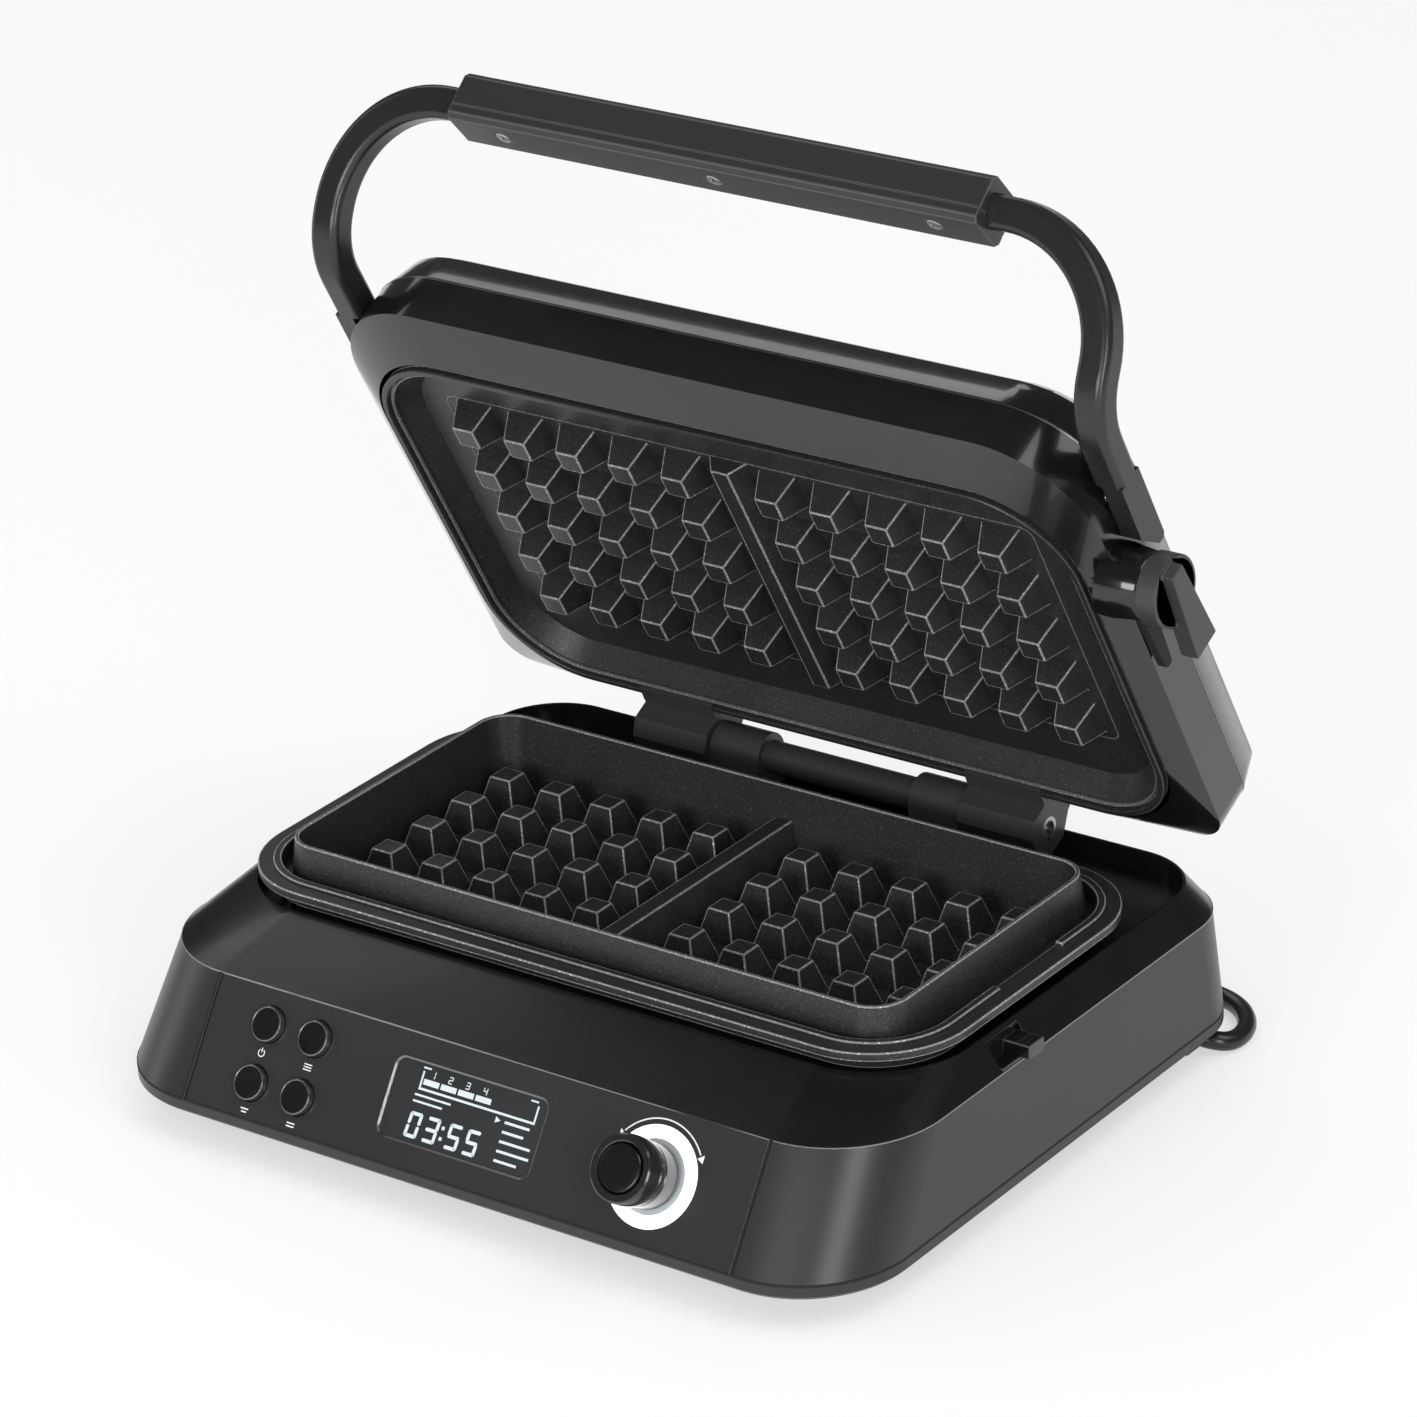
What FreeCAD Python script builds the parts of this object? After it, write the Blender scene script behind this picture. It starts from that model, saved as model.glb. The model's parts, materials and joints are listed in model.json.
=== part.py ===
import FreeCAD, Part
import math
import os
from types import SimpleNamespace

import Sketcher

# Driving dimensions, in millimetres and degrees
DIMENSIONS = {
    # Base casing
    "base_width": 321,
    "base_depth": 257,
    "front_corner": 40,
    "rear_corner": 28,
    "foot_rise": 11,
    "foot_radius": 12,
    "foot_inset_side": 36,
    "foot_inset_front": 36,
    "foot_inset_rear": 46,
    "band_height": 5.5,
    "band_undercut": 1.5,
    "tray_floor": 2.5,
    "casing_height": 38.5,
    "casing_wall": 2.2,
    "seam_width": 315,
    "panel_setback": 26,
    "rear_setback": 1.5,
    "boss_radius": 5,
    "boss_front_offset": 20,
    "boss_rear_offset": 30,
    "boss_height": 16,
    "screw_radius": 1.6,
    "screw_head_radius": 3.2,
    "screw_head_height": 1.5,
    "fit_clearance": 0.02,
    "running_clearance": 0.05,
    "slide_clearance": 0.3,
    # Deck around the lower plate
    "deck_rise": 10.5,
    "deck_wall": 2.2,
    "ridge_land": 1.0,
    "recess_depth": 7.5,
    "plate_gap": 1.5,
    # Waffle plates
    "plate_width": 296,
    "plate_depth": 157,
    "plate_centre_y": 11,
    "plate_corner": 36,
    "plate_stand": 3.2,
    "flange_thickness": 3.2,
    "lip_inset": 5.5,
    "lip_width": 3,
    "lip_height": 1.1,
    "lip_gap_length": 38,
    "lip_gap_y": 16,
    "moat_depth": 5.4,
    "casting_wall": 3,
    "pan_width": 260,
    "pan_depth": 127.4,
    "pan_corner": 13,
    "pan_rise": 10.3,
    "pan_draft": 4,
    "peg_pitch": 23,
    "peg_top": 9,
    "peg_base": 15.4,
    "peg_rows": 5,
    "lower_peg_height": 11,
    "upper_peg_height": 10.4,
    "cell_spacing": 132.1,
    "divider_base": 16,
    "divider_top": 7,
    "divider_height": 13,
    "divider_end_gap": 0.5,
    "waffle_gap": 7.1,
    "upper_plate_width": 295,
    "upper_plate_depth": 170,
    "upper_plate_setback": 13.1,
    "tray_depth": 8.3,
    "tray_draft": 7.5,
    "upper_flange_width": 3,
    "element_radius": 3.25,
    "element_gap": 0.2,
    "element_bend": 25,
    "element_width": 200,
    "element_depth": 96,
    "lower_shield_depth": 8,
    "shield_wall": 1.5,
    "shield_flange": 7,
    "shield_post_radius": 4,
    "thermostat_radius": 8,
    "fuse_radius": 2.5,
    "fuse_length": 14,
    # Control panel
    "panel_width": 234,
    "panel_gap": 0.3,
    "button_radius": 6.4,
    "button_proud": 2.6,
    "button_flange": 1.3,
    "button_travel": 1.2,
    "button_left_x": -91,
    "button_right_x": -70.3,
    "button_rise": 10.5,
    "display_width": 66,
    "display_height": 29,
    "display_x": -2.5,
    "display_recess": 0.8,
    "display_border": 3,
    "display_depth": 5,
    "dial_x": 77.5,
    "dial_radius": 12,
    "dial_height": 19,
    "dial_standoff": 1.5,
    "dial_shaft_radius": 3,
    "ring_radius": 17.6,
    "ring_bore": 6,
    "ring_proud": 0.6,
    "ring_flange": 2,
    "start_radius": 8.25,
    "start_height": 4.5,
    "start_proud": 0.5,
    "start_travel": 1.2,
    "board_depth": 14,
    "board_thickness": 1.6,
    "board_width": 224,
    "board_height": 32,
    "board_offset": 3,
    "board_post_radius": 3,
    "encoder_size": 13,
    "encoder_height": 7.5,
    # Power electronics on the tray floor
    "power_board_width": 84,
    "power_board_depth": 52,
    "power_board_rise": 6,
    "power_board_y": -42,
    "relay_length": 28,
    "relay_width": 13,
    "relay_height": 15,
    "terminal_length": 32,
    "terminal_width": 16,
    "terminal_height": 14,
    # Hinge
    "hinge_y": 110.3,
    "hinge_rise": 5.6,
    "ridge_behind_hinge": 12.2,
    "open_angle": 62.1,
    "pin_radius": 3,
    "boss_tube_radius": 8.7,
    "middle_tube_radius": 6,
    "boss_tube_inner": 33,
    "knuckle_inner": 55,
    "knuckle_width": 32.5,
    "knuckle_side_gap": 0.4,
    "bush_wall": 1.5,
    "knuckle_reach": 10,
    "knuckle_chamfer": 5,
    "knuckle_rise": 12,
    "knuckle_back": 5,
    # Lid
    "lid_side_margin": 10.5,
    "lid_front_margin": 20.9,
    "lid_rear": 5,
    "lid_rear_corner": 13,
    "lid_rim_rise": 5,
    "lid_rim_bevel": 5.5,
    "lid_wall_height": 18,
    "lid_wall": 2.2,
    "lid_cover_gap": 0.3,
    "lid_cover_height": 21,
    "lid_cover_shoulder": 13,
    "lid_shoulder_inset": 3.5,
    "lid_crown_inset": 11,
    "lid_crown_drop": 2,
    "lid_top_inset": 30,
    "upper_plate_gap": 1.7,
    "ledge_drop": 2.6,
    "ledge_width": 7,
    # Handle
    "bar_width": 12,
    "bar_height": 11.5,
    "bar_corner": 3,
    "bar_offset": 2.3,
    "bar_after_lock": 38.5,
    "bar_start_rise": 25.2,
    "bar_straight": 30,
    "bar_bend_rise": 25.4,
    "bar_bend_radius": 29,
    "bar_arch_radius": 43,
    "grip_forward": 36.4,
    "grip_rise": 71.1,
    "grip_length": 220.4,
    "grip_width": 19.5,
    "grip_height": 18.5,
    "grip_chamfer": 2,
    "grip_tilt": -14,
    "grip_split": 4,
    "grip_screw_spacing": 90,
    "bracket_length": 34,
    "bracket_thickness": 8,
    "bracket_screw_drop": 3,
    # Lock at the right side of the lid
    "lock_reach": 144.5,
    "lock_rise": 12,
    "lock_boss_radius": 8,
    "lock_lever_gap": 2,
    "lock_lever_thickness": 3.6,
    "lock_lever_length": 43,
    "lock_lever_width": 9,
    "lock_tip_radius": 2.2,
    "lock_stem_radius": 9.5,
    "lock_stem_length": 7.4,
    "lock_knob_radius": 12.9,
    "lock_knob_depth": 8,
    "lock_wing_height": 4.5,
    "lock_wing_width": 7,
    "lock_wing_end_width": 13,
    "lock_wing_reach": 26,
    "lock_wing_back": 11.9,
    "lock_pocket_radius": 10.9,
    "lock_pocket_depth": 2.5,
    "catch_width": 9,
    "catch_height": 5,
    "catch_behind_lock": 23.7,
    "catch_pocket": 10,
    "catch_overlap": 1.5,
    # Mains lead
    "cord_radius": 3.5,
    "cord_exit_side": 14.5,
    "cord_exit_setback": 20.5,
    "cord_exit_z": 6.4,
    "relief_length": 38,
    "relief_radius": 4.5,
    "guide_wall": 1.2,
    "guide_length": 46,
    "cord_start_gap": 0.6,
    "coil_aside": 171,
    "coil_behind": 74,
    "coil_lift": 1.1,
    "coil_radius": 41.5,
    "coil_step": 7.7,
    "coil_layer": 7.5,
    "coil_dip": 1.2,
    "coil_tail": 35,
    "tie_thickness": 0.7,
    "tie_width": 6,
    "plug_radius": 12,
    "plug_length": 52,
    "plug_pin_radius": 2.4,
    "plug_pin_length": 19,
    "plug_pin_spacing": 19,
}

doc = FreeCAD.newDocument("waffle_maker")
sheet = doc.addObject("Spreadsheet::Sheet", "Dims")
for row, (alias, number) in enumerate(DIMENSIONS.items(), start=1):
    sheet.set(f"A{row}", alias)
    sheet.set(f"B{row}", str(number))
    sheet.setAlias(f"B{row}", alias)
doc.recompute()


class Size:
    """A length read from the sheet, with the expression that gives it."""

    def __init__(self, value, text):
        self.value = value
        self.text = text

    def __float__(self):
        return self.value

    def __add__(self, other):
        other = as_size(other)
        return Size(self.value + other.value, f"({self.text} + {other.text})")

    def __sub__(self, other):
        other = as_size(other)
        return Size(self.value - other.value, f"({self.text} - {other.text})")

    def __mul__(self, other):
        other = as_size(other)
        return Size(self.value * other.value, f"({self.text} * {other.text})")

    def __truediv__(self, other):
        other = as_size(other)
        return Size(self.value / other.value, f"({self.text} / {other.text})")

    def __radd__(self, other):
        return as_size(other) + self

    def __rsub__(self, other):
        return as_size(other) - self

    def __rmul__(self, other):
        return as_size(other) * self

    def __neg__(self):
        return as_size(0) - self


def as_size(number):
    if isinstance(number, Size):
        return number
    return Size(float(number), f"({float(number)!r})")


dim = SimpleNamespace(
    **{alias: Size(float(sheet.get(alias)), f"Dims.{alias}") for alias in DIMENSIONS}
)
nodes = {}


def vector(x, y, z):
    return FreeCAD.Vector(float(x), float(y), float(z))


def bind(thing, prop, size):
    thing.setExpression(prop, as_size(size).text)


def keep(name, thing, placement=None):
    """Register a finished piece under its node name."""
    thing.Label = name
    if placement is not None:
        thing.Placement = placement
    nodes[name] = thing
    return thing


def feature(name, shape, placement=None):
    thing = doc.addObject("Part::Feature", name)
    thing.Shape = shape
    return keep(name, thing, placement)


# Levels and edges that several pieces share
base_half = dim.base_width / 2
base_front = -dim.base_depth / 2
base_rear = dim.base_depth / 2
tray_top = dim.foot_rise + dim.band_height
tray_inside = dim.foot_rise + dim.tray_floor
seam_z = tray_top + dim.casing_height
seam_half = dim.seam_width / 2
seam_front = base_front + dim.panel_setback
seam_rear = base_rear - dim.rear_setback
ridge_z = seam_z + dim.deck_rise
recess_z = ridge_z - dim.recess_depth
plate_half = dim.plate_width / 2
plate_front = dim.plate_centre_y - dim.plate_depth / 2
plate_rear = dim.plate_centre_y + dim.plate_depth / 2
flange_low = ridge_z + dim.plate_stand
flange_top = flange_low + dim.flange_thickness
rim_z = flange_top + dim.pan_rise
hinge_z = ridge_z + dim.hinge_rise
ridge_rear = dim.hinge_y + dim.ridge_behind_hinge
upper_plate_rear = dim.hinge_y - dim.upper_plate_setback
upper_plate_front = upper_plate_rear - dim.upper_plate_depth
lid_half = dim.upper_plate_width / 2 + dim.lid_side_margin
lid_front = upper_plate_front - dim.lid_front_margin
lock_y = dim.hinge_y - dim.lock_reach
bar_start = dim.lock_reach + dim.bar_after_lock
bar_bend_reach = bar_start + dim.bar_straight
grip_reach = bar_bend_reach + dim.grip_forward
cord_exit_x = base_half - dim.cord_exit_side
cord_exit_y = base_rear - dim.cord_exit_setback
lid_rim_z = hinge_z + dim.lid_rim_rise
lid_crease_z = lid_rim_z + dim.lid_rim_bevel
lid_seam_z = lid_crease_z + dim.lid_wall_height
lid_open = FreeCAD.Placement(
    vector(0, 0, 0),
    FreeCAD.Rotation(vector(1, 0, 0), -float(dim.open_angle)),
    vector(0, dim.hinge_y, hinge_z),
)

# Pegs of the lower plate end one waffle web below the pegs of the closed upper plate
upper_floor_z = lid_rim_z + 1 + dim.tray_depth
upper_peg_z = upper_floor_z - dim.upper_peg_height
lower_peg_z = upper_peg_z - dim.waffle_gap
pan_floor_z = lower_peg_z - dim.lower_peg_height
pan_bottom_z = pan_floor_z - dim.casting_wall
upper_back_z = upper_floor_z + dim.casting_wall


class Outline:
    """A rounded rectangle seen from above, with its own front and rear corner radii."""

    def __init__(self, half, front, rear, front_radius, rear_radius):
        self.half = float(half)
        self.front = float(front)
        self.rear = float(rear)
        self.front_radius = float(front_radius)
        self.rear_radius = float(rear_radius)

    def inset(self, gap):
        gap = float(gap)
        least = 0.5
        return Outline(
            self.half - gap,
            self.front + gap,
            self.rear - gap,
            max(self.front_radius - gap, least),
            max(self.rear_radius - gap, least),
        )

    def wire(self, z):
        corners = (
            (self.half, self.front, self.front_radius, -1),
            (self.half, self.rear, self.rear_radius, 1),
        )
        right = []
        for x, y, radius, way in corners:
            along_y = vector(x, y - way * radius, z)
            along_x = vector(x - radius, y, z)
            bow = radius * (1 - math.sqrt(0.5))
            middle = vector(x - bow, y - way * bow, z)
            right.append((along_x, middle, along_y))
        (a0, a1, a2), (b2, b1, b0) = right
        mirror = [FreeCAD.Vector(-p.x, p.y, p.z) for p in (a0, a1, a2, b0, b1, b2)]
        c0, c1, c2, d0, d1, d2 = mirror
        edges = [
            Part.LineSegment(c0, a0),
            Part.Arc(a0, a1, a2),
            Part.LineSegment(a2, b0),
            Part.Arc(b0, b1, b2),
            Part.LineSegment(b2, d2),
            Part.Arc(d2, d1, d0),
            Part.LineSegment(d0, c2),
            Part.Arc(c2, c1, c0),
        ]
        return Part.Wire([edge.toShape() for edge in edges])


def slab(*levels):
    """A solid through rounded outlines at rising heights."""
    return Part.makeLoft([outline.wire(z) for outline, z in levels], True, True)


def block(outline, low, high):
    return Part.Face(outline.wire(low)).extrude(vector(0, 0, float(high) - float(low)))


def brick(x, y, z):
    """A plain box between three pairs of limits."""
    sides = [float(limit[1]) - float(limit[0]) for limit in (x, y, z)]
    return Part.makeBox(*sides, vector(x[0], y[0], z[0]))


def rod(radius, start, end):
    """A round bar from one point to another."""
    way = end - start
    return Part.makeCylinder(float(radius), way.Length, start, way)


def prism(points, start_x, end_x):
    """A side profile of (y, z) points carried across from one x to another."""
    corners = [vector(start_x, y, z) for y, z in points]
    face = Part.Face(Part.makePolygon(corners + corners[:1]))
    return face.extrude(vector(float(end_x) - float(start_x), 0, 0))


def mirrored(shape):
    return shape.mirror(vector(0, 0, 0), vector(1, 0, 0))


def add_box(name, size, corner, placement=None):
    """A box of the document, bound to the sheet."""
    thing = doc.addObject("Part::Box", name)
    for prop, length in zip(("Length", "Width", "Height"), size):
        bind(thing, prop, length)
    if placement is not None:
        thing.Placement = placement
        return thing
    for axis, place in zip("xyz", corner):
        bind(thing, f"Placement.Base.{axis}", place)
    return thing


def add_cylinder(name, radius, height, foot, placement=None):
    """An upright cylinder of the document, bound to the sheet."""
    thing = doc.addObject("Part::Cylinder", name)
    bind(thing, "Radius", radius)
    bind(thing, "Height", height)
    if placement is not None:
        thing.Placement = placement
        return thing
    for axis, place in zip("xyz", foot):
        bind(thing, f"Placement.Base.{axis}", place)
    return thing


def add_group(name, pieces):
    thing = doc.addObject("Part::Compound", name)
    thing.Links = pieces
    return thing


def add_fuse(name, pieces):
    thing = doc.addObject("Part::MultiFuse", name)
    thing.Shapes = pieces
    return thing


def add_cut(name, base, tool):
    thing = doc.addObject("Part::Cut", name)
    thing.Base = base
    thing.Tool = tool
    return thing


def new_body(name):
    body = doc.addObject("PartDesign::Body", name)
    body.Label = name
    return body


def profile(body, role, points):
    """A closed sketch whose corners are bound to the sheet."""
    plane = next(item for item in body.Origin.OriginFeatures if item.Role == role)
    sketch = body.newObject("Sketcher::SketchObject", f"{body.Name}_profile")
    sketch.AttachmentSupport = [(plane, "")]
    sketch.MapMode = "FlatFace"
    corners = [vector(x, y, 0) for x, y in points]
    count = len(corners)
    for index, corner in enumerate(corners):
        sketch.addGeometry(Part.LineSegment(corner, corners[(index + 1) % count]), False)
    for index in range(count):
        sketch.addConstraint(
            Sketcher.Constraint("Coincident", index, 2, (index + 1) % count, 1)
        )
    for index, (x, y) in enumerate(points):
        for kind, place in (("DistanceX", x), ("DistanceY", y)):
            number = sketch.addConstraint(
                Sketcher.Constraint(kind, -1, 1, index, 1, float(place))
            )
            sketch.setExpression(f"Constraints[{number}]", as_size(place).text)
    return sketch


def turned(name, points):
    """A body turned about its own Z axis from (radius, height) points."""
    body = new_body(name)
    sketch = profile(body, "XZ_Plane", points)
    turn = body.newObject("PartDesign::Revolution", f"{name}_turn")
    turn.Profile = sketch
    turn.ReferenceAxis = (sketch, ["V_Axis"])
    turn.Angle = 360
    sketch.Visibility = False
    return body


def padded_plate(name, role, points, length, midplane=False):
    """A body padded from a flat outline."""
    body = new_body(name)
    sketch = profile(body, role, points)
    pad = body.newObject("PartDesign::Pad", f"{name}_pad")
    pad.Profile = sketch
    bind(pad, "Length", length)
    pad.Midplane = midplane
    return body


def rectangle(width, height, x=0, y=0):
    return [
        (x - width / 2, y - height / 2),
        (x + width / 2, y - height / 2),
        (x + width / 2, y + height / 2),
        (x - width / 2, y + height / 2),
    ]


# Bottom tray, feet and side casing
base_outline = Outline(base_half, base_front, base_rear, dim.front_corner, dim.rear_corner)
seam_outline = Outline(seam_half, seam_front, seam_rear, dim.front_corner, dim.rear_corner)
boss_x = seam_half - dim.casing_wall - dim.boss_radius / 2
boss_places = [
    (side * boss_x, y)
    for side in (-1, 1)
    for y in (
        seam_front + dim.front_corner + dim.boss_front_offset,
        seam_rear - dim.rear_corner - dim.boss_rear_offset,
    )
]
power_posts = [
    (x * (dim.power_board_width / 2 - 6), dim.power_board_y + y * (dim.power_board_depth / 2 - 6))
    for x in (-1, 1)
    for y in (-1, 1)
]


def make_bottom_tray():
    tray = slab(
        (base_outline.inset(dim.band_undercut), dim.foot_rise),
        (base_outline, dim.foot_rise + dim.band_undercut),
        (base_outline, tray_top),
    )
    tray = tray.cut(block(base_outline.inset(dim.casing_wall), tray_inside, tray_top))
    for x, y in power_posts:
        post = rod(
            dim.board_post_radius,
            vector(x, y, tray_inside),
            vector(x, y, tray_inside + dim.power_board_rise),
        )
        tray = tray.fuse(post)
    for x, y in boss_places:
        hole = rod(
            dim.screw_radius + dim.fit_clearance,
            vector(x, y, dim.foot_rise),
            vector(x, y, tray_top),
        )
        recess = rod(
            dim.screw_head_radius + dim.fit_clearance,
            vector(x, y, dim.foot_rise),
            vector(x, y, dim.foot_rise + dim.screw_head_height),
        )
        tray = tray.cut(hole).cut(recess)
    feature("bottom_tray", tray.removeSplitter())


def make_side_casing():
    inner = slab(
        (base_outline.inset(dim.casing_wall), tray_top),
        (seam_outline.inset(dim.casing_wall), seam_z),
    )
    casing = slab((base_outline, tray_top), (seam_outline, seam_z)).cut(inner)
    opening = brick(
        (-dim.panel_width / 2, dim.panel_width / 2),
        (base_front - 1, seam_front + dim.casing_wall + 1),
        (tray_top - 1, seam_z + 1),
    )
    casing = casing.cut(opening)
    envelope = slab((base_outline, tray_top), (seam_outline, seam_z))
    for x, y in boss_places:
        boss = rod(
            dim.boss_radius,
            vector(x, y, tray_inside),
            vector(x, y, tray_inside + dim.boss_height),
        )
        casing = casing.fuse(boss.common(envelope))
    for x, y in boss_places:
        hole = rod(
            dim.screw_radius + dim.fit_clearance,
            vector(x, y, tray_inside),
            vector(x, y, tray_inside + dim.boss_height),
        )
        casing = casing.cut(hole)
    feature("side_casing", casing.removeSplitter())


def make_feet():
    for name, y in (
        ("front_feet", base_front + dim.foot_inset_front),
        ("rear_feet", base_rear - dim.foot_inset_rear),
    ):
        pads = [
            add_cylinder(
                f"{name}_{label}",
                dim.foot_radius,
                dim.foot_rise,
                (side * (base_half - dim.foot_inset_side), y, 0),
            )
            for label, side in (("left", -1), ("right", 1))
        ]
        keep(name, add_group(name, pads))


def make_base_screws():
    screws = []
    for index, (x, y) in enumerate(boss_places):
        head = add_cylinder(
            f"base_screw_head_{index}",
            dim.screw_head_radius,
            dim.screw_head_height,
            (x, y, dim.foot_rise),
        )
        shank = add_cylinder(
            f"base_screw_shank_{index}",
            dim.screw_radius,
            dim.tray_floor + dim.boss_height - 2,
            (x, y, dim.foot_rise),
        )
        screws.append(add_fuse(f"base_screw_{index}", [head, shank]))
    keep("base_screws", add_group("base_screws", screws))


make_bottom_tray()
make_side_casing()
make_feet()
make_base_screws()

# Deck with its recess for the lower plate, and the catch in its right slope
ridge_outline = Outline(
    plate_half + dim.plate_gap,
    plate_front - dim.plate_gap,
    ridge_rear,
    dim.plate_corner + dim.plate_gap,
    dim.rear_corner,
)
pan_outline = Outline(
    dim.pan_width / 2,
    dim.plate_centre_y - dim.pan_depth / 2,
    dim.plate_centre_y + dim.pan_depth / 2,
    dim.pan_corner,
    dim.pan_corner,
)
pan_opening = pan_outline.inset(-dim.pan_draft - 2)
catch_low = seam_z + dim.casing_wall / 2
catch_top = catch_low + dim.catch_height
catch_y = lock_y + dim.catch_behind_lock
catch_rear = catch_y + dim.catch_width / 2
catch_front = catch_y - dim.catch_width / 2
pocket_front = catch_front - dim.catch_pocket
pocket_side = plate_half + dim.plate_gap + dim.ridge_land
lever_side = lid_half + dim.lock_lever_gap


def make_top_deck():
    outer = slab((seam_outline, seam_z), (ridge_outline, ridge_z))
    hollow = slab(
        (seam_outline.inset(dim.deck_wall), seam_z),
        (ridge_outline.inset(-dim.ridge_land), ridge_z - dim.deck_wall),
    )
    column = block(ridge_outline.inset(-dim.ridge_land), seam_z, ridge_z)
    deck = outer.cut(hollow.cut(column))
    deck = deck.cut(block(ridge_outline.inset(dim.ridge_land), recess_z, ridge_z + 1))
    deck = deck.cut(block(pan_opening, seam_z - 1, recess_z + 1))
    pocket = brick(
        (pocket_side, seam_half + 1),
        (pocket_front, catch_rear + dim.fit_clearance),
        (seam_z, ridge_z + 1),
    )
    feature("top_deck", deck.cut(pocket).removeSplitter())


def make_lid_catch():
    base = add_box(
        "catch_base",
        (
            seam_half - pocket_side - dim.fit_clearance,
            catch_rear - pocket_front - dim.fit_clearance,
            dim.casing_wall / 2,
        ),
        (pocket_side + dim.fit_clearance, pocket_front + dim.fit_clearance, seam_z),
    )
    nose = add_box(
        "catch_nose",
        (
            lever_side + dim.catch_overlap - pocket_side - dim.fit_clearance,
            dim.catch_width,
            dim.catch_height,
        ),
        (pocket_side + dim.fit_clearance, catch_front, catch_low),
    )
    keep("lid_catch", add_fuse("lid_catch", [base, nose]))


make_top_deck()
make_lid_catch()

# Waffle plates with their pegs
plate_outline = Outline(plate_half, plate_front, plate_rear, dim.plate_corner, dim.plate_corner)
upper_plate_outline = Outline(
    dim.upper_plate_width / 2,
    upper_plate_front,
    upper_plate_rear,
    dim.plate_corner,
    dim.plate_corner,
)
peg_count = int(round(float(dim.peg_rows)))
peg_steps = [index - (peg_count - 1) / 2 for index in range(peg_count)]
peg_centre_y = dim.plate_centre_y - 2.8


def square(x, y, z, side):
    half = float(side) / 2
    x, y, z = float(x), float(y), float(z)
    corners = [
        FreeCAD.Vector(x + i * half, y + j * half, z)
        for i, j in ((-1, -1), (1, -1), (1, 1), (-1, 1))
    ]
    return Part.makePolygon(corners + corners[:1])


def pegs(floor_z, tip_z):
    """Both cells' pegs, tapering from the plate floor to their tips."""
    solids = []
    for cell in (-1, 1):
        for column in peg_steps:
            for row in peg_steps:
                x = cell * dim.cell_spacing / 2 + column * dim.peg_pitch
                y = peg_centre_y + row * dim.peg_pitch
                foot = square(x, y, floor_z, dim.peg_base)
                tip = square(x, y, tip_z, dim.peg_top)
                solids.append(Part.makeLoft([foot, tip], True, True))
    return solids


def divider(floor_z, top_z, front, rear):
    """The ridge between the two cells."""
    half_foot = float(dim.divider_base) / 2
    half_top = float(dim.divider_top) / 2
    section = [(-half_foot, floor_z), (half_foot, floor_z), (half_top, top_z), (-half_top, top_z)]
    corners = [vector(x, front, z) for x, z in section]
    face = Part.Face(Part.makePolygon(corners + corners[:1]))
    return face.extrude(vector(0, float(rear) - float(front), 0))


def make_lower_plate():
    moat_floor = flange_top - dim.moat_depth
    lip_outline = plate_outline.inset(dim.lip_inset)
    moat_outline = lip_outline.inset(dim.lip_width)
    pan_outer = slab(
        (pan_outline.inset(-dim.pan_draft / 2), pan_bottom_z),
        (pan_outline.inset(-dim.pan_draft / 2), moat_floor),
        (pan_outline, rim_z),
    )
    cavity = slab(
        (pan_outline.inset(dim.casting_wall + dim.pan_draft / 2), pan_floor_z),
        (pan_outline.inset(dim.casting_wall / 2), rim_z),
    )
    flange = block(plate_outline, flange_low, flange_top)
    bowl = block(lip_outline, moat_floor - dim.casting_wall, flange_top + dim.lip_height)
    moat = block(moat_outline, moat_floor, rim_z)
    plate = flange.fuse(bowl).cut(moat).fuse(pan_outer).cut(cavity)
    for side in (-1, 1):
        edge = side * (plate_half - dim.lip_inset - dim.lip_width / 2)
        gap = brick(
            (edge - dim.lip_width, edge + dim.lip_width),
            (dim.lip_gap_y - dim.lip_gap_length / 2, dim.lip_gap_y + dim.lip_gap_length / 2),
            (flange_top, rim_z),
        )
        plate = plate.cut(gap)
    ridge = divider(
        pan_floor_z,
        pan_floor_z + dim.divider_height,
        pan_outline.front + float(dim.casting_wall),
        pan_outline.rear - float(dim.casting_wall),
    )
    plate = plate.fuse([ridge] + pegs(pan_floor_z, lower_peg_z))
    feature("lower_plate", plate.removeSplitter())


def make_upper_plate():
    rim_low = upper_floor_z - dim.tray_depth
    end_gap = float(dim.casting_wall + dim.pan_draft / 2 + dim.divider_end_gap)
    body = slab(
        (upper_plate_outline, rim_low),
        (upper_plate_outline, rim_low + dim.casting_wall),
        (upper_plate_outline.inset(dim.tray_draft), upper_back_z),
    )
    cavity = slab(
        (upper_plate_outline.inset(dim.upper_flange_width), rim_low),
        (upper_plate_outline.inset(dim.upper_flange_width + dim.tray_draft), upper_floor_z),
    )
    ridge = divider(
        upper_floor_z,
        upper_floor_z - dim.divider_height / 2,
        pan_outline.front + end_gap,
        pan_outline.rear - end_gap,
    )
    plate = body.cut(cavity).fuse([ridge] + pegs(upper_floor_z, upper_peg_z))
    feature("upper_plate", plate.removeSplitter(), lid_open)


make_lower_plate()
make_upper_plate()

# Heating elements, shields, thermostats and the thermal fuse
shield_floor_z = pan_bottom_z - dim.lower_shield_depth
shield_posts = [
    (side * dim.element_width / 2 * x, dim.plate_centre_y + y * dim.element_depth / 3)
    for side in (-1, 1)
    for x, y in ((0.7, 1), (0.7, -1), (0.25, 0))
]


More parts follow.
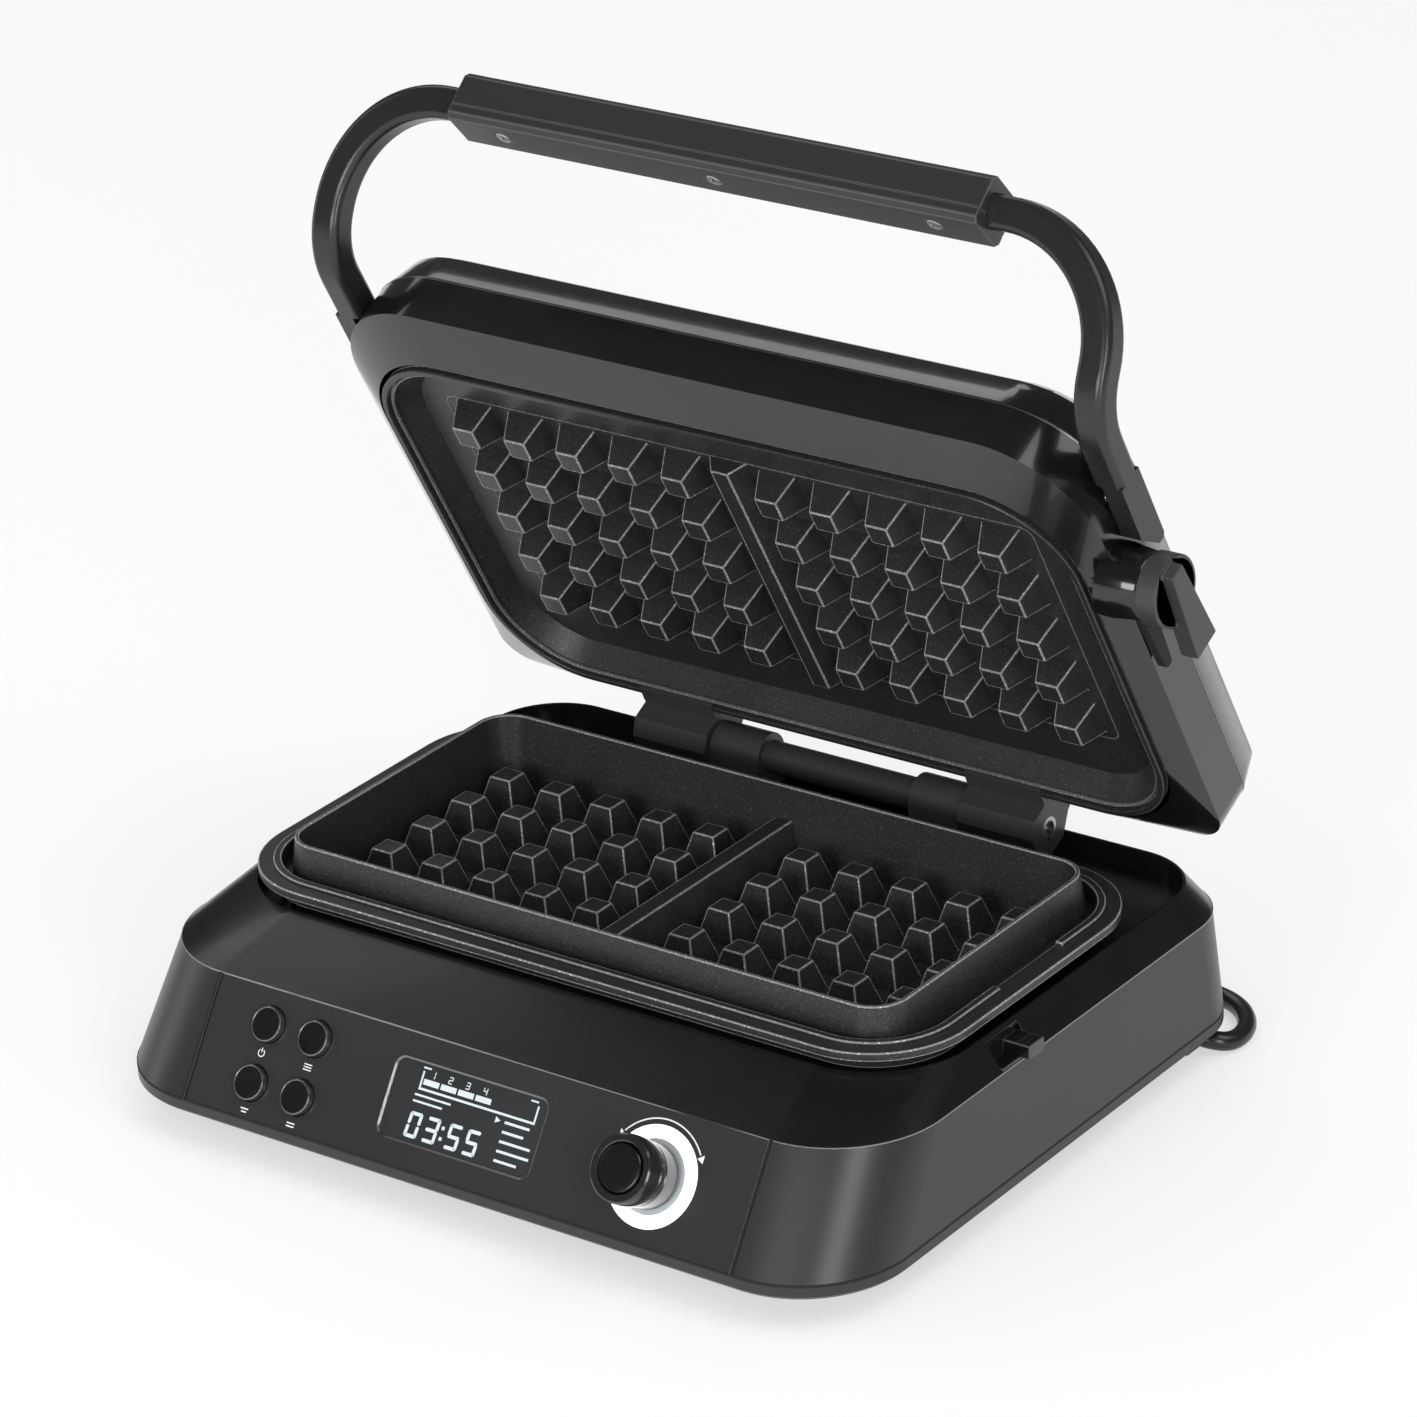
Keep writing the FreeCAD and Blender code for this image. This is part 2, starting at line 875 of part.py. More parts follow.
def rounded_path(points, radii):
    """Straight runs joined by tangent arcs, with the radius at each inner point."""
    edges = []
    start = points[0]
    for index in range(1, len(points) - 1):
        corner = points[index]
        ahead = (corner - points[index - 1]).normalize()
        leaving = (points[index + 1] - corner).normalize()
        turn = ahead.getAngle(leaving)
        trim = radii[index - 1] * math.tan(turn / 2)
        arc_start = corner - ahead * trim
        arc_end = corner + leaving * trim
        inward = (leaving - ahead).normalize()
        bow = radii[index - 1] * (1 / math.cos(turn / 2) - 1)
        edges.append(Part.LineSegment(start, arc_start).toShape())
        edges.append(Part.Arc(arc_start, corner + inward * bow, arc_end).toShape())
        start = arc_end
    edges.append(Part.LineSegment(start, points[-1]).toShape())
    return Part.Wire(edges)


def tube(path, radius, start, way):
    ring = Part.Wire(Part.Circle(start, way, float(radius)).toShape())
    return path.makePipeShell([ring], True, False)


def heating_element(z):
    half = dim.element_width / 2
    rear = dim.plate_centre_y + dim.element_depth / 2
    front = dim.plate_centre_y - dim.element_depth / 2
    points = [
        vector(-half, rear, z),
        vector(-half, front, z),
        vector(half, front, z),
        vector(half, rear, z),
    ]
    path = rounded_path(points, [float(dim.element_bend)] * 2)
    return tube(path, dim.element_radius, points[0], vector(0, -1, 0))


def make_lower_heating():
    element_drop = dim.element_radius + dim.element_gap
    feature("lower_heating_element", heating_element(pan_bottom_z - element_drop))
    shield_outline = pan_opening.inset(-dim.shield_flange)
    shield_inside = pan_opening.inset(1)
    shield_bottom = shield_floor_z - dim.shield_wall
    shell = block(shield_inside, shield_bottom, seam_z)
    flange = block(shield_outline, seam_z - dim.shield_wall, seam_z)
    hollow = block(shield_inside.inset(dim.shield_wall), shield_floor_z, seam_z)
    shield = shell.fuse(flange).cut(hollow)
    for x, y in shield_posts:
        post = rod(dim.shield_post_radius, vector(x, y, shield_floor_z), vector(x, y, pan_bottom_z))
        shield = shield.fuse(post)
    feature("lower_heat_shield", shield.removeSplitter())


def make_upper_heating():
    element_lift = dim.element_radius + dim.element_gap
    feature("upper_heating_element", heating_element(upper_back_z + element_lift), lid_open)
    ledge_z = lid_seam_z - dim.ledge_drop
    sheet_outline = lid_outline.inset(dim.lid_wall + 1)
    shield = block(sheet_outline, ledge_z, ledge_z + dim.shield_wall)
    for x, y in shield_posts:
        post = rod(dim.shield_post_radius, vector(x, y, upper_back_z), vector(x, y, ledge_z))
        shield = shield.fuse(post)
    feature("upper_heat_shield", shield.removeSplitter(), lid_open)


def make_thermostats():
    lower = turned(
        "lower_thermostat",
        [
            (0, 0),
            (dim.thermostat_radius, 0),
            (dim.thermostat_radius, dim.lower_shield_depth),
            (0, dim.lower_shield_depth),
        ],
    )
    keep("lower_thermostat", lower, FreeCAD.Placement(
        vector(0, dim.plate_centre_y, shield_floor_z), FreeCAD.Rotation()))
    upper_height = lid_seam_z - dim.ledge_drop - upper_back_z
    upper = turned(
        "upper_thermostat",
        [
            (0, 0),
            (dim.thermostat_radius, 0),
            (dim.thermostat_radius, upper_height),
            (0, upper_height),
        ],
    )
    seat = FreeCAD.Placement(vector(0, dim.plate_centre_y, upper_back_z), FreeCAD.Rotation())
    keep("upper_thermostat", upper, lid_open.multiply(seat))
    fuse = turned(
        "thermal_fuse",
        [
            (0, 0),
            (dim.fuse_radius, 0),
            (dim.fuse_radius, dim.fuse_length),
            (0, dim.fuse_length),
        ],
    )
    keep("thermal_fuse", fuse, FreeCAD.Placement(
        vector(
            -dim.fuse_length / 2,
            dim.plate_centre_y + 2 * dim.thermostat_radius,
            shield_floor_z + dim.fuse_radius,
        ),
        FreeCAD.Rotation(vector(0, 1, 0), 90),
    ))


# Lid shells, built closed and then swung open about the hinge
lid_outline = Outline(
    lid_half,
    lid_front,
    dim.hinge_y - dim.lid_rear,
    dim.front_corner,
    dim.lid_rear_corner,
)
lid_opening = upper_plate_outline.inset(-dim.upper_plate_gap)
lock_z = hinge_z + dim.lock_rise
bar_x = lid_half + dim.bar_offset
bar_way = math.atan2(
    float(dim.bar_bend_rise - dim.bar_start_rise), float(bar_bend_reach - bar_start)
)
bracket_screws = [
    (
        dim.hinge_y - bar_start + dim.bracket_length * share,
        hinge_z + dim.bar_start_rise - dim.bracket_screw_drop,
    )
    for share in (0.25, 0.65)
]
bracket_inner_x = lid_half + dim.slide_clearance
bracket_outer_x = bracket_inner_x + dim.bracket_thickness
bracket_screw_start = lid_half - dim.ledge_width


def make_lid_skirt():
    outer = slab(
        (lid_opening, lid_rim_z),
        (lid_outline, lid_crease_z),
        (lid_outline, lid_seam_z),
    )
    room = block(lid_outline.inset(dim.lid_wall), lid_crease_z + dim.lid_wall, lid_seam_z)
    ledge_z = lid_seam_z - dim.ledge_drop
    ledge = block(lid_outline.inset(dim.lid_wall / 2), ledge_z - dim.lid_wall, ledge_z)
    ledge = ledge.cut(block(lid_outline.inset(dim.ledge_width), ledge_z - dim.lid_wall, ledge_z))
    skirt = outer.cut(block(lid_opening, lid_rim_z - 1, lid_crease_z + dim.lid_wall))
    skirt = skirt.cut(room).fuse(ledge)
    lock_boss = rod(
        dim.lock_boss_radius,
        vector(lid_half - dim.lock_boss_radius, lock_y, lock_z),
        vector(lever_side - dim.slide_clearance, lock_y, lock_z),
    )
    pivot_hole = rod(
        dim.pin_radius + dim.fit_clearance,
        vector(lid_half - dim.lock_boss_radius, lock_y, lock_z),
        vector(lever_side, lock_y, lock_z),
    )
    skirt = skirt.fuse(lock_boss).cut(pivot_hole)
    for y, z in bracket_screws:
        for side in (-1, 1):
            hole = rod(
                dim.screw_radius + dim.fit_clearance,
                vector(side * bracket_screw_start, y, z),
                vector(side * bracket_inner_x, y, z),
            )
            skirt = skirt.cut(hole)
    feature("lid_skirt", skirt.removeSplitter(), lid_open)


def make_lid_cover():
    foot = lid_seam_z + dim.lid_cover_gap
    top = foot + dim.lid_cover_height
    levels = (
        (0, foot),
        (dim.lid_shoulder_inset, foot + dim.lid_cover_shoulder),
        (dim.lid_crown_inset, top - dim.lid_crown_drop),
        (dim.lid_top_inset, top),
    )
    outer = slab(*[(lid_outline.inset(inset), z) for inset, z in levels])
    hollow = slab(
        (lid_outline.inset(dim.lid_wall), foot),
        *[(lid_outline.inset(inset + dim.lid_wall), z - dim.lid_wall) for inset, z in levels[1:]],
    )
    feature("lid_cover", outer.cut(hollow).removeSplitter(), lid_open)


make_lid_skirt()
make_lid_cover()
make_lower_heating()
make_upper_heating()
make_thermostats()

# Hinge: a barrel on the deck, a pin through it, and two knuckles on the lid
knuckle_start = dim.knuckle_inner + dim.knuckle_side_gap
knuckle_end = knuckle_start + dim.knuckle_width
bush_radius = dim.pin_radius + dim.running_clearance + dim.bush_wall


def across(radius, start_x, end_x, y=dim.hinge_y, z=hinge_z):
    return rod(radius, vector(start_x, y, z), vector(end_x, y, z))


def make_hinge_barrel():
    barrel = across(dim.middle_tube_radius, -dim.boss_tube_inner, dim.boss_tube_inner)
    for side in (-1, 1):
        boss = across(dim.boss_tube_radius, side * dim.boss_tube_inner, side * dim.knuckle_inner)
        stand = brick(
            sorted((float(side * dim.boss_tube_inner), float(side * dim.knuckle_inner))),
            (dim.hinge_y - dim.boss_tube_radius, dim.hinge_y + dim.boss_tube_radius),
            (recess_z, hinge_z),
        )
        barrel = barrel.fuse(boss).fuse(stand)
    bore = across(dim.pin_radius + dim.fit_clearance, -dim.knuckle_inner, dim.knuckle_inner)
    feature("hinge_barrel", barrel.cut(bore).removeSplitter())


def make_hinge_pin():
    pin = turned(
        "hinge_pin",
        [
            (0, -knuckle_end + 4),
            (dim.pin_radius, -knuckle_end + 4),
            (dim.pin_radius, knuckle_end - 4),
            (0, knuckle_end - 4),
        ],
    )
    turn = FreeCAD.Rotation(vector(0, 1, 0), 90)
    keep("hinge_pin", pin, FreeCAD.Placement(vector(0, dim.hinge_y, hinge_z), turn))


def lid_point(reach, rise):
    """Closed (y, z) of a place on the lid: its reach before the hinge and its rise above."""
    return dim.hinge_y - reach, hinge_z + rise


def make_hinge_knuckles():
    reach = dim.knuckle_reach
    chamfer = dim.knuckle_chamfer
    rim_reach = dim.hinge_y - lid_opening.rear
    section = [
        lid_point(dim.lid_rear, lid_crease_z - hinge_z + dim.knuckle_rise),
        lid_point(dim.lid_rear - dim.knuckle_back, lid_crease_z - hinge_z + dim.knuckle_rise),
        lid_point(chamfer - reach + 1, reach + 2),
        lid_point(-reach, chamfer),
        lid_point(-reach, -chamfer),
        lid_point(-chamfer, -reach),
        lid_point(chamfer, -reach),
        lid_point(reach, -chamfer),
        lid_point(reach, 2.6),
        lid_point(rim_reach + 6, dim.lid_rim_rise - 2),
        lid_point(rim_reach + 6, dim.lid_rim_rise - 0.3),
        lid_point(rim_reach, dim.lid_rim_rise - 0.3),
        lid_point(dim.lid_rear, lid_crease_z - hinge_z - 0.3),
    ]
    screw_y, screw_z = knuckle_screw_place()
    for name, side in (("hinge_knuckle_left", -1), ("hinge_knuckle_right", 1)):
        block_shape = prism(section, side * knuckle_start, side * knuckle_end)
        bore = across(bush_radius + dim.fit_clearance, side * knuckle_start, side * knuckle_end)
        middle = side * (knuckle_start + knuckle_end) / 2
        hole = rod(
            dim.screw_head_radius + dim.fit_clearance,
            vector(middle, screw_y, screw_z - dim.screw_head_height),
            vector(middle, screw_y, lid_rim_z + 1),
        )
        feature(name, block_shape.cut(bore).cut(hole), lid_open)


def knuckle_screw_place():
    rim_reach = dim.hinge_y - lid_opening.rear
    return lid_point(rim_reach + 2.5, dim.lid_rim_rise - 0.3)


def make_knuckle_bushes():
    bushes = []
    for side in (-1, 1):
        sleeve = across(bush_radius, side * knuckle_start, side * knuckle_end)
        bore = across(dim.pin_radius + dim.running_clearance, side * knuckle_start, side * knuckle_end)
        bushes.append(sleeve.cut(bore))
    feature("knuckle_bushes", Part.makeCompound(bushes), lid_open)


def make_knuckle_screws():
    y, z = knuckle_screw_place()
    middle = (knuckle_start + knuckle_end) / 2
    heads = [
        add_cylinder(
            f"knuckle_screw_{label}",
            dim.screw_head_radius,
            dim.screw_head_height,
            (side * middle, y, z - dim.screw_head_height),
        )
        for label, side in (("left", -1), ("right", 1))
    ]
    keep("knuckle_screws", add_group("knuckle_screws", heads), lid_open)


make_hinge_barrel()
make_hinge_pin()
make_hinge_knuckles()
make_knuckle_bushes()
make_knuckle_screws()

# Handle: one bent bar, a two-part grip and the brackets on the lid's sides
bar_rise_way = math.atan2(
    float(dim.grip_rise - dim.bar_bend_rise), float(grip_reach - bar_bend_reach)
)
grip_y, grip_z = lid_point(grip_reach, dim.grip_rise)
tilt = math.radians(float(dim.grip_tilt))
grip_out = vector(0, -math.cos(tilt), math.sin(tilt))
grip_down = vector(0, -math.sin(tilt), -math.cos(tilt))
grip_centre = vector(0, grip_y, grip_z)


def rounded_section(centre, wide, tall, width, height, radius):
    """A rounded rectangle on two given directions."""
    half_w = float(width) / 2
    half_h = float(height) / 2
    radius = float(radius)
    bow = radius * (1 - math.sqrt(0.5))

    def place(a, b):
        return centre + wide * a + tall * b

    edges = []
    for a, b in ((1, -1), (1, 1), (-1, 1), (-1, -1)):
        side_point = place(a * half_w, b * (half_h - radius))
        end_point = place(a * (half_w - radius), b * half_h)
        middle = place(a * (half_w - bow), b * (half_h - bow))
        first, last = (end_point, side_point) if a * b < 0 else (side_point, end_point)
        edges.append(Part.Arc(first, middle, last).toShape())
    lines = []
    for index, edge in enumerate(edges):
        follower = edges[(index + 1) % len(edges)]
        start = edge.valueAt(edge.LastParameter)
        end = follower.valueAt(follower.FirstParameter)
        lines.append(Part.LineSegment(start, end).toShape())
    return Part.Wire([item for pair in zip(edges, lines) for item in pair])


def grip_screw_places():
    return [dim.grip_screw_spacing * step for step in (-1, 0, 1)]


def grip_hole(x, radius, start, end):
    foot = grip_centre + vector(x, 0, 0)
    return rod(radius, foot + grip_down * float(start), foot + grip_down * float(end))


def make_handle_bar():
    start = lid_point(bar_start, dim.bar_start_rise)
    bend = lid_point(bar_bend_reach, dim.bar_bend_rise)
    right = [
        vector(bar_x, *start),
        vector(bar_x, *bend),
        vector(bar_x, grip_y, grip_z),
    ]
    left = [FreeCAD.Vector(-p.x, p.y, p.z) for p in reversed(right)]
    bend_radius = float(dim.bar_bend_radius)
    arch_radius = float(dim.bar_arch_radius)
    path = rounded_path(right + left, [bend_radius, arch_radius, arch_radius, bend_radius])
    across_bar = vector(0, math.sin(bar_way), math.cos(bar_way))
    section = rounded_section(
        right[0], vector(1, 0, 0), across_bar, dim.bar_width, dim.bar_height, dim.bar_corner
    )
    bar = path.makePipeShell([section], True, False)
    for x in grip_screw_places():
        bar = bar.cut(grip_hole(x, dim.screw_radius + dim.fit_clearance, 0, dim.grip_height / 2))
    feature("handle_bar", bar, lid_open)


def make_grip():
    half_w = float(dim.grip_width) / 2
    half_h = float(dim.grip_height) / 2
    cut = float(dim.grip_chamfer)
    start = grip_centre - vector(dim.grip_length / 2, 0, 0)
    length = vector(dim.grip_length, 0, 0)
    corners = []
    for a, b in ((1, -1), (1, 1), (-1, 1), (-1, -1)):
        near_side = (a * half_w, b * (half_h - cut))
        near_end = (a * (half_w - cut), b * half_h)
        pair = (near_end, near_side) if a * b < 0 else (near_side, near_end)
        corners.extend(start + grip_out * p + grip_down * q for p, q in pair)
    whole = Part.Face(Part.makePolygon(corners + corners[:1])).extrude(length)
    bar_up = vector(0, -math.cos(bar_rise_way), math.sin(bar_rise_way))
    bar_side = vector(0, math.sin(bar_rise_way), math.cos(bar_rise_way))
    play = 2 * dim.fit_clearance
    channel = rounded_section(
        start, bar_up, bar_side, dim.bar_width + play, dim.bar_height + play, dim.bar_corner
    )
    whole = whole.cut(Part.Face(channel).extrude(length))
    reach = float(dim.grip_width)
    split = float(dim.grip_split)
    lower_corners = [
        start + grip_out * p + grip_down * q
        for p, q in ((-reach, split), (reach, split), (reach, reach), (-reach, reach))
    ]
    lower_half = Part.Face(Part.makePolygon(lower_corners + lower_corners[:1])).extrude(length)
    inner = whole.common(lower_half)
    for x in grip_screw_places():
        head_start = dim.grip_height / 2 - dim.screw_head_height
        inner = inner.cut(
            grip_hole(x, dim.screw_head_radius + dim.fit_clearance, head_start, dim.grip_height / 2)
        )
        inner = inner.cut(
            grip_hole(x, dim.screw_radius + dim.fit_clearance, 0, dim.grip_height / 2)
        )
    feature("grip_outer", whole.cut(lower_half), lid_open)
    feature("grip_inner", inner, lid_open)


def make_grip_screws():
    screws = []
    for x in grip_screw_places():
        head_start = dim.grip_height / 2 - dim.screw_head_height
        head = grip_hole(x, dim.screw_head_radius, head_start, dim.grip_height / 2)
        shank = grip_hole(x, dim.screw_radius, dim.screw_head_height, dim.grip_height / 2)
        screws.append(head.fuse(shank).removeSplitter())
    feature("grip_screws", Part.makeCompound(screws), lid_open)


def make_handle_brackets():
    half = float(dim.bar_height) / 2
    long_way = float(dim.bracket_length)
    start_y, start_z = (float(value) for value in lid_point(bar_start, dim.bar_start_rise))

    def place(back, up):
        return (
            start_y + back * math.cos(bar_way) + up * math.sin(bar_way),
            start_z - back * math.sin(bar_way) + up * math.cos(bar_way),
        )

    section = [
        place(0, half),
        place(0, -half),
        place(long_way * 0.72, -half),
        place(long_way, half * 0.3),
        place(long_way, half * 0.8),
        place(long_way * 0.95, half),
    ]
    bracket = prism(section, bracket_inner_x, bracket_outer_x)
    screw_end = bracket_inner_x + dim.bracket_thickness * 0.7
    screws = []
    for y, z in bracket_screws:
        hole_end = vector(screw_end, y, z)
        bracket = bracket.cut(
            rod(dim.screw_radius + dim.fit_clearance, vector(bracket_inner_x, y, z), hole_end)
        )
        screw = rod(dim.screw_radius, vector(bracket_screw_start, y, z), hole_end)
        screws.extend((screw, mirrored(screw)))
    feature("handle_bracket_right", bracket, lid_open)
    feature("handle_bracket_left", mirrored(bracket), lid_open)
    feature("bracket_screws", Part.makeCompound(screws), lid_open)


make_handle_bar()
make_grip()
make_grip_screws()
make_handle_brackets()

# Lock: a thumb knob and a hooked lever that turn on a pivot in the lid's right wall
knob_start = lever_side + dim.lock_lever_thickness
knob_back = knob_start + dim.lock_stem_length
knob_face = knob_back + dim.lock_knob_depth


def make_lock():
    pivot = rod(
        dim.pin_radius,
        vector(lid_half - dim.lock_boss_radius, lock_y, lock_z),
        vector(knob_back, lock_y, lock_z),
    )
    feature("lock_pivot", pivot, lid_open)
    bore = rod(
        dim.pin_radius + dim.running_clearance,
        vector(lever_side - 1, lock_y, lock_z),
        vector(knob_back + dim.slide_clearance, lock_y, lock_z),
    )
    stem = rod(
        dim.lock_stem_radius,
        vector(knob_start, lock_y, lock_z),
        vector(knob_back, lock_y, lock_z),
    )
    disc = rod(
        dim.lock_knob_radius,
        vector(knob_back, lock_y, lock_z),
        vector(knob_face, lock_y, lock_z),
    )
    pocket_floor = knob_face - dim.lock_pocket_depth
    pocket = rod(
        dim.lock_pocket_radius,
        vector(pocket_floor, lock_y, lock_z),
        vector(knob_face + 1, lock_y, lock_z),
    )
    wing_half = dim.lock_wing_width / 2
    end_half = dim.lock_wing_end_width / 2
    wing = prism(
        [
            (lock_y - dim.lock_wing_back, lock_z - wing_half),
            (lock_y + dim.lock_wing_reach, lock_z - end_half),
            (lock_y + dim.lock_wing_reach, lock_z + end_half),
            (lock_y - dim.lock_wing_back, lock_z + wing_half),
        ],
        pocket_floor,
        knob_face + dim.lock_wing_height,
    )
    knob = stem.fuse(disc.cut(pocket)).fuse(wing).cut(bore)
    feature("lock_knob", knob.removeSplitter(), lid_open)
    tip_y = lock_y + dim.lock_lever_length
    hub = rod(
        dim.lock_lever_width,
        vector(lever_side, lock_y, lock_z),
        vector(knob_start, lock_y, lock_z),
    )
    arm = prism(
        [
            (lock_y, lock_z - dim.lock_lever_width / 2),
            (tip_y - dim.lock_tip_radius, lock_z - dim.lock_tip_radius),
            (tip_y - dim.lock_tip_radius, lock_z + dim.lock_tip_radius),
            (lock_y, lock_z + dim.lock_lever_width / 2),
        ],
        lever_side,
        knob_start,
    )
    tip_centre = tip_y - dim.lock_tip_radius
    tip = rod(
        dim.lock_tip_radius,
        vector(lever_side, tip_centre, lock_z),
        vector(knob_start, tip_centre, lock_z),
    )
    feature("lock_lever", hub.fuse(arm).fuse(tip).cut(bore).removeSplitter(), lid_open)


make_lock()

# Control panel, set in the sloping front of the casing
panel_slant = Size(
    math.hypot(float(dim.casing_height), float(dim.panel_setback)),
    f"sqrt({dim.casing_height.text}^2 + {dim.panel_setback.text}^2)",
)
panel_skin = dim.casing_wall * dim.casing_height / panel_slant
panel_turn = FreeCAD.Rotation(
    vector(1, 0, 0),
    math.degrees(math.atan2(float(dim.casing_height), float(dim.panel_setback))),
)
panel_centre = vector(0, (base_front + seam_front) / 2, (tray_top + seam_z) / 2)
button_places = {
    "button_upper_left": (dim.button_left_x, dim.button_rise),
    "button_upper_right": (dim.button_right_x, dim.button_rise),
    "button_lower_left": (dim.button_left_x, -dim.button_rise),
    "button_lower_right": (dim.button_right_x, -dim.button_rise),
}
board_posts = [
    (side * (dim.board_width / 2 - 6), dim.board_offset + end * (dim.board_height / 2 - 5))
    for side in (-1, 1)
    for end in (-1, 1)
]
button_flange_top = -panel_skin - dim.slide_clearance
button_flange_low = button_flange_top - dim.button_flange
switch_top = button_flange_low - dim.button_travel - dim.slide_clearance
display_back = -panel_skin
dial_top = dim.dial_standoff + dim.dial_height
start_bore = dim.start_height - dim.start_proud + dim.start_travel + 0.6


def on_panel(x, y, z):
    """A placement on the panel: across, up the slope and out of its face."""
    return FreeCAD.Placement(panel_centre + panel_turn.multVec(vector(x, y, z)), panel_turn)


def make_control_panel():
    blank = padded_plate(
        "panel_blank",
        "YZ_Plane",
        [
            (base_front, tray_top),
            (base_front + dim.casing_wall, tray_top),
            (seam_front + dim.casing_wall, seam_z),
            (seam_front, seam_z),
        ],
        dim.panel_width - 2 * dim.panel_gap,
        midplane=True,
    )
    depth = 4 * dim.casing_wall
    tools = [
        add_cylinder(
            f"{name}_hole",
            dim.button_radius + dim.slide_clearance,
            depth,
            None,
            on_panel(x, y, -depth / 2),
        )
        for name, (x, y) in button_places.items()
    ]
    tools.append(add_cylinder(
        "ring_hole",
        dim.ring_radius + dim.fit_clearance,
        depth,
        None,
        on_panel(dim.dial_x, 0, -depth / 2),
    ))
    tools.append(add_box(
        "display_opening",
        (dim.display_width, dim.display_height, depth),
        None,
        on_panel(dim.display_x - dim.display_width / 2, -dim.display_height / 2, -depth / 2),
    ))
    pierced = add_cut("panel_pierced", blank, add_fuse("panel_openings", tools))
    posts = [
        add_cylinder(
            f"board_post_{index}",
            dim.board_post_radius,
            dim.board_depth - panel_skin / 2,
            None,
            on_panel(x, y, -dim.board_depth),
        )
        for index, (x, y) in enumerate(board_posts)
    ]
    keep("control_panel", add_fuse("control_panel", [pierced] + posts))


def make_buttons():
    bevel = 0.6
    points = [
        (0, button_flange_low),
        (dim.button_radius + dim.button_flange, button_flange_low),
        (dim.button_radius + dim.button_flange, button_flange_top),
        (dim.button_radius, button_flange_top),
        (dim.button_radius, dim.button_proud - bevel),
        (dim.button_radius - bevel, dim.button_proud),
        (0, dim.button_proud),
    ]
    for name, (x, y) in button_places.items():
        keep(name, turned(name, points), on_panel(x, y, 0))


def make_switches():
    switches = []
    case_height = 3.5
    case_side = 6
    plunger_radius = 1.7
    for name, (x, y) in button_places.items():
        case = add_box(
            f"{name}_case",
            (case_side, case_side, case_height),
            None,
            on_panel(x - case_side / 2, y - case_side / 2, -dim.board_depth),
        )
        plunger = add_cylinder(
            f"{name}_plunger",
            plunger_radius,
            switch_top + dim.board_depth,
            None,
            on_panel(x, y, -dim.board_depth),
        )
        switches.append(add_fuse(f"{name}_switch", [case, plunger]))
    keep("button_switches", add_group("button_switches", switches))


def make_display():
    play = 2 * dim.fit_clearance
    glass = padded_plate(
        "display_window",
        "XY_Plane",
        rectangle(dim.display_width - play, dim.display_height - play),
        panel_skin - dim.display_recess,
    )
    keep("display_window", glass, on_panel(dim.display_x, 0, display_back))
    module = padded_plate(
        "display_module",
        "XY_Plane",
        rectangle(
            dim.display_width + 2 * dim.display_border,
            dim.display_height + 2 * dim.display_border,
        ),
        dim.display_depth,
    )
    keep("display_module", module, on_panel(dim.display_x, 0, display_back - dim.display_depth))


def make_dial():
    flange_top = -panel_skin - dim.fit_clearance
    ring = turned(
        "light_ring",
        [
            (dim.ring_bore, flange_top - dim.ring_flange),
            (dim.ring_radius + dim.ring_flange, flange_top - dim.ring_flange),
            (dim.ring_radius + dim.ring_flange, flange_top),
            (dim.ring_radius, flange_top),
            (dim.ring_radius, dim.ring_proud),
            (dim.ring_bore, dim.ring_proud),
        ],
    )
    keep("light_ring", ring, on_panel(dim.dial_x, 0, 0))
    bevel = 1
    shaft_low = dim.slide_clearance + 3 - dim.board_depth
    knob = turned(
        "dial_knob",
        [
            (0, shaft_low),
            (dim.dial_shaft_radius, shaft_low),
            (dim.dial_shaft_radius, dim.dial_standoff),
            (dim.dial_radius, dim.dial_standoff),
            (dim.dial_radius, dial_top - bevel),
            (dim.dial_radius - bevel, dial_top),
            (dim.start_radius + dim.slide_clearance, dial_top),
            (dim.start_radius + dim.slide_clearance, dial_top - start_bore),
            (0, dial_top - start_bore),
        ],
    )
    keep("dial_knob", knob, on_panel(dim.dial_x, 0, 0))
    cap_top = dial_top + dim.start_proud
    cap = turned(
        "start_button",
        [
            (0, cap_top - dim.start_height),
            (dim.start_radius, cap_top - dim.start_height),
            (dim.start_radius, cap_top - bevel / 2),
            (dim.start_radius - bevel / 2, cap_top),
            (0, cap_top),
        ],
    )
    keep("start_button", cap, on_panel(dim.dial_x, 0, 0))
    half = dim.encoder_size / 2
    encoder_case = add_box(
        "encoder_case",
        (dim.encoder_size, dim.encoder_size, dim.encoder_height),
        None,
        on_panel(dim.dial_x - half, -half, -dim.board_depth),
    )
    encoder_bore = add_cylinder(
        "encoder_bore",
        dim.dial_shaft_radius + dim.running_clearance,
        dim.encoder_height,
        None,
        on_panel(dim.dial_x, 0, 3 - dim.board_depth),
    )
    keep("dial_encoder", add_cut("dial_encoder", encoder_case, encoder_bore))


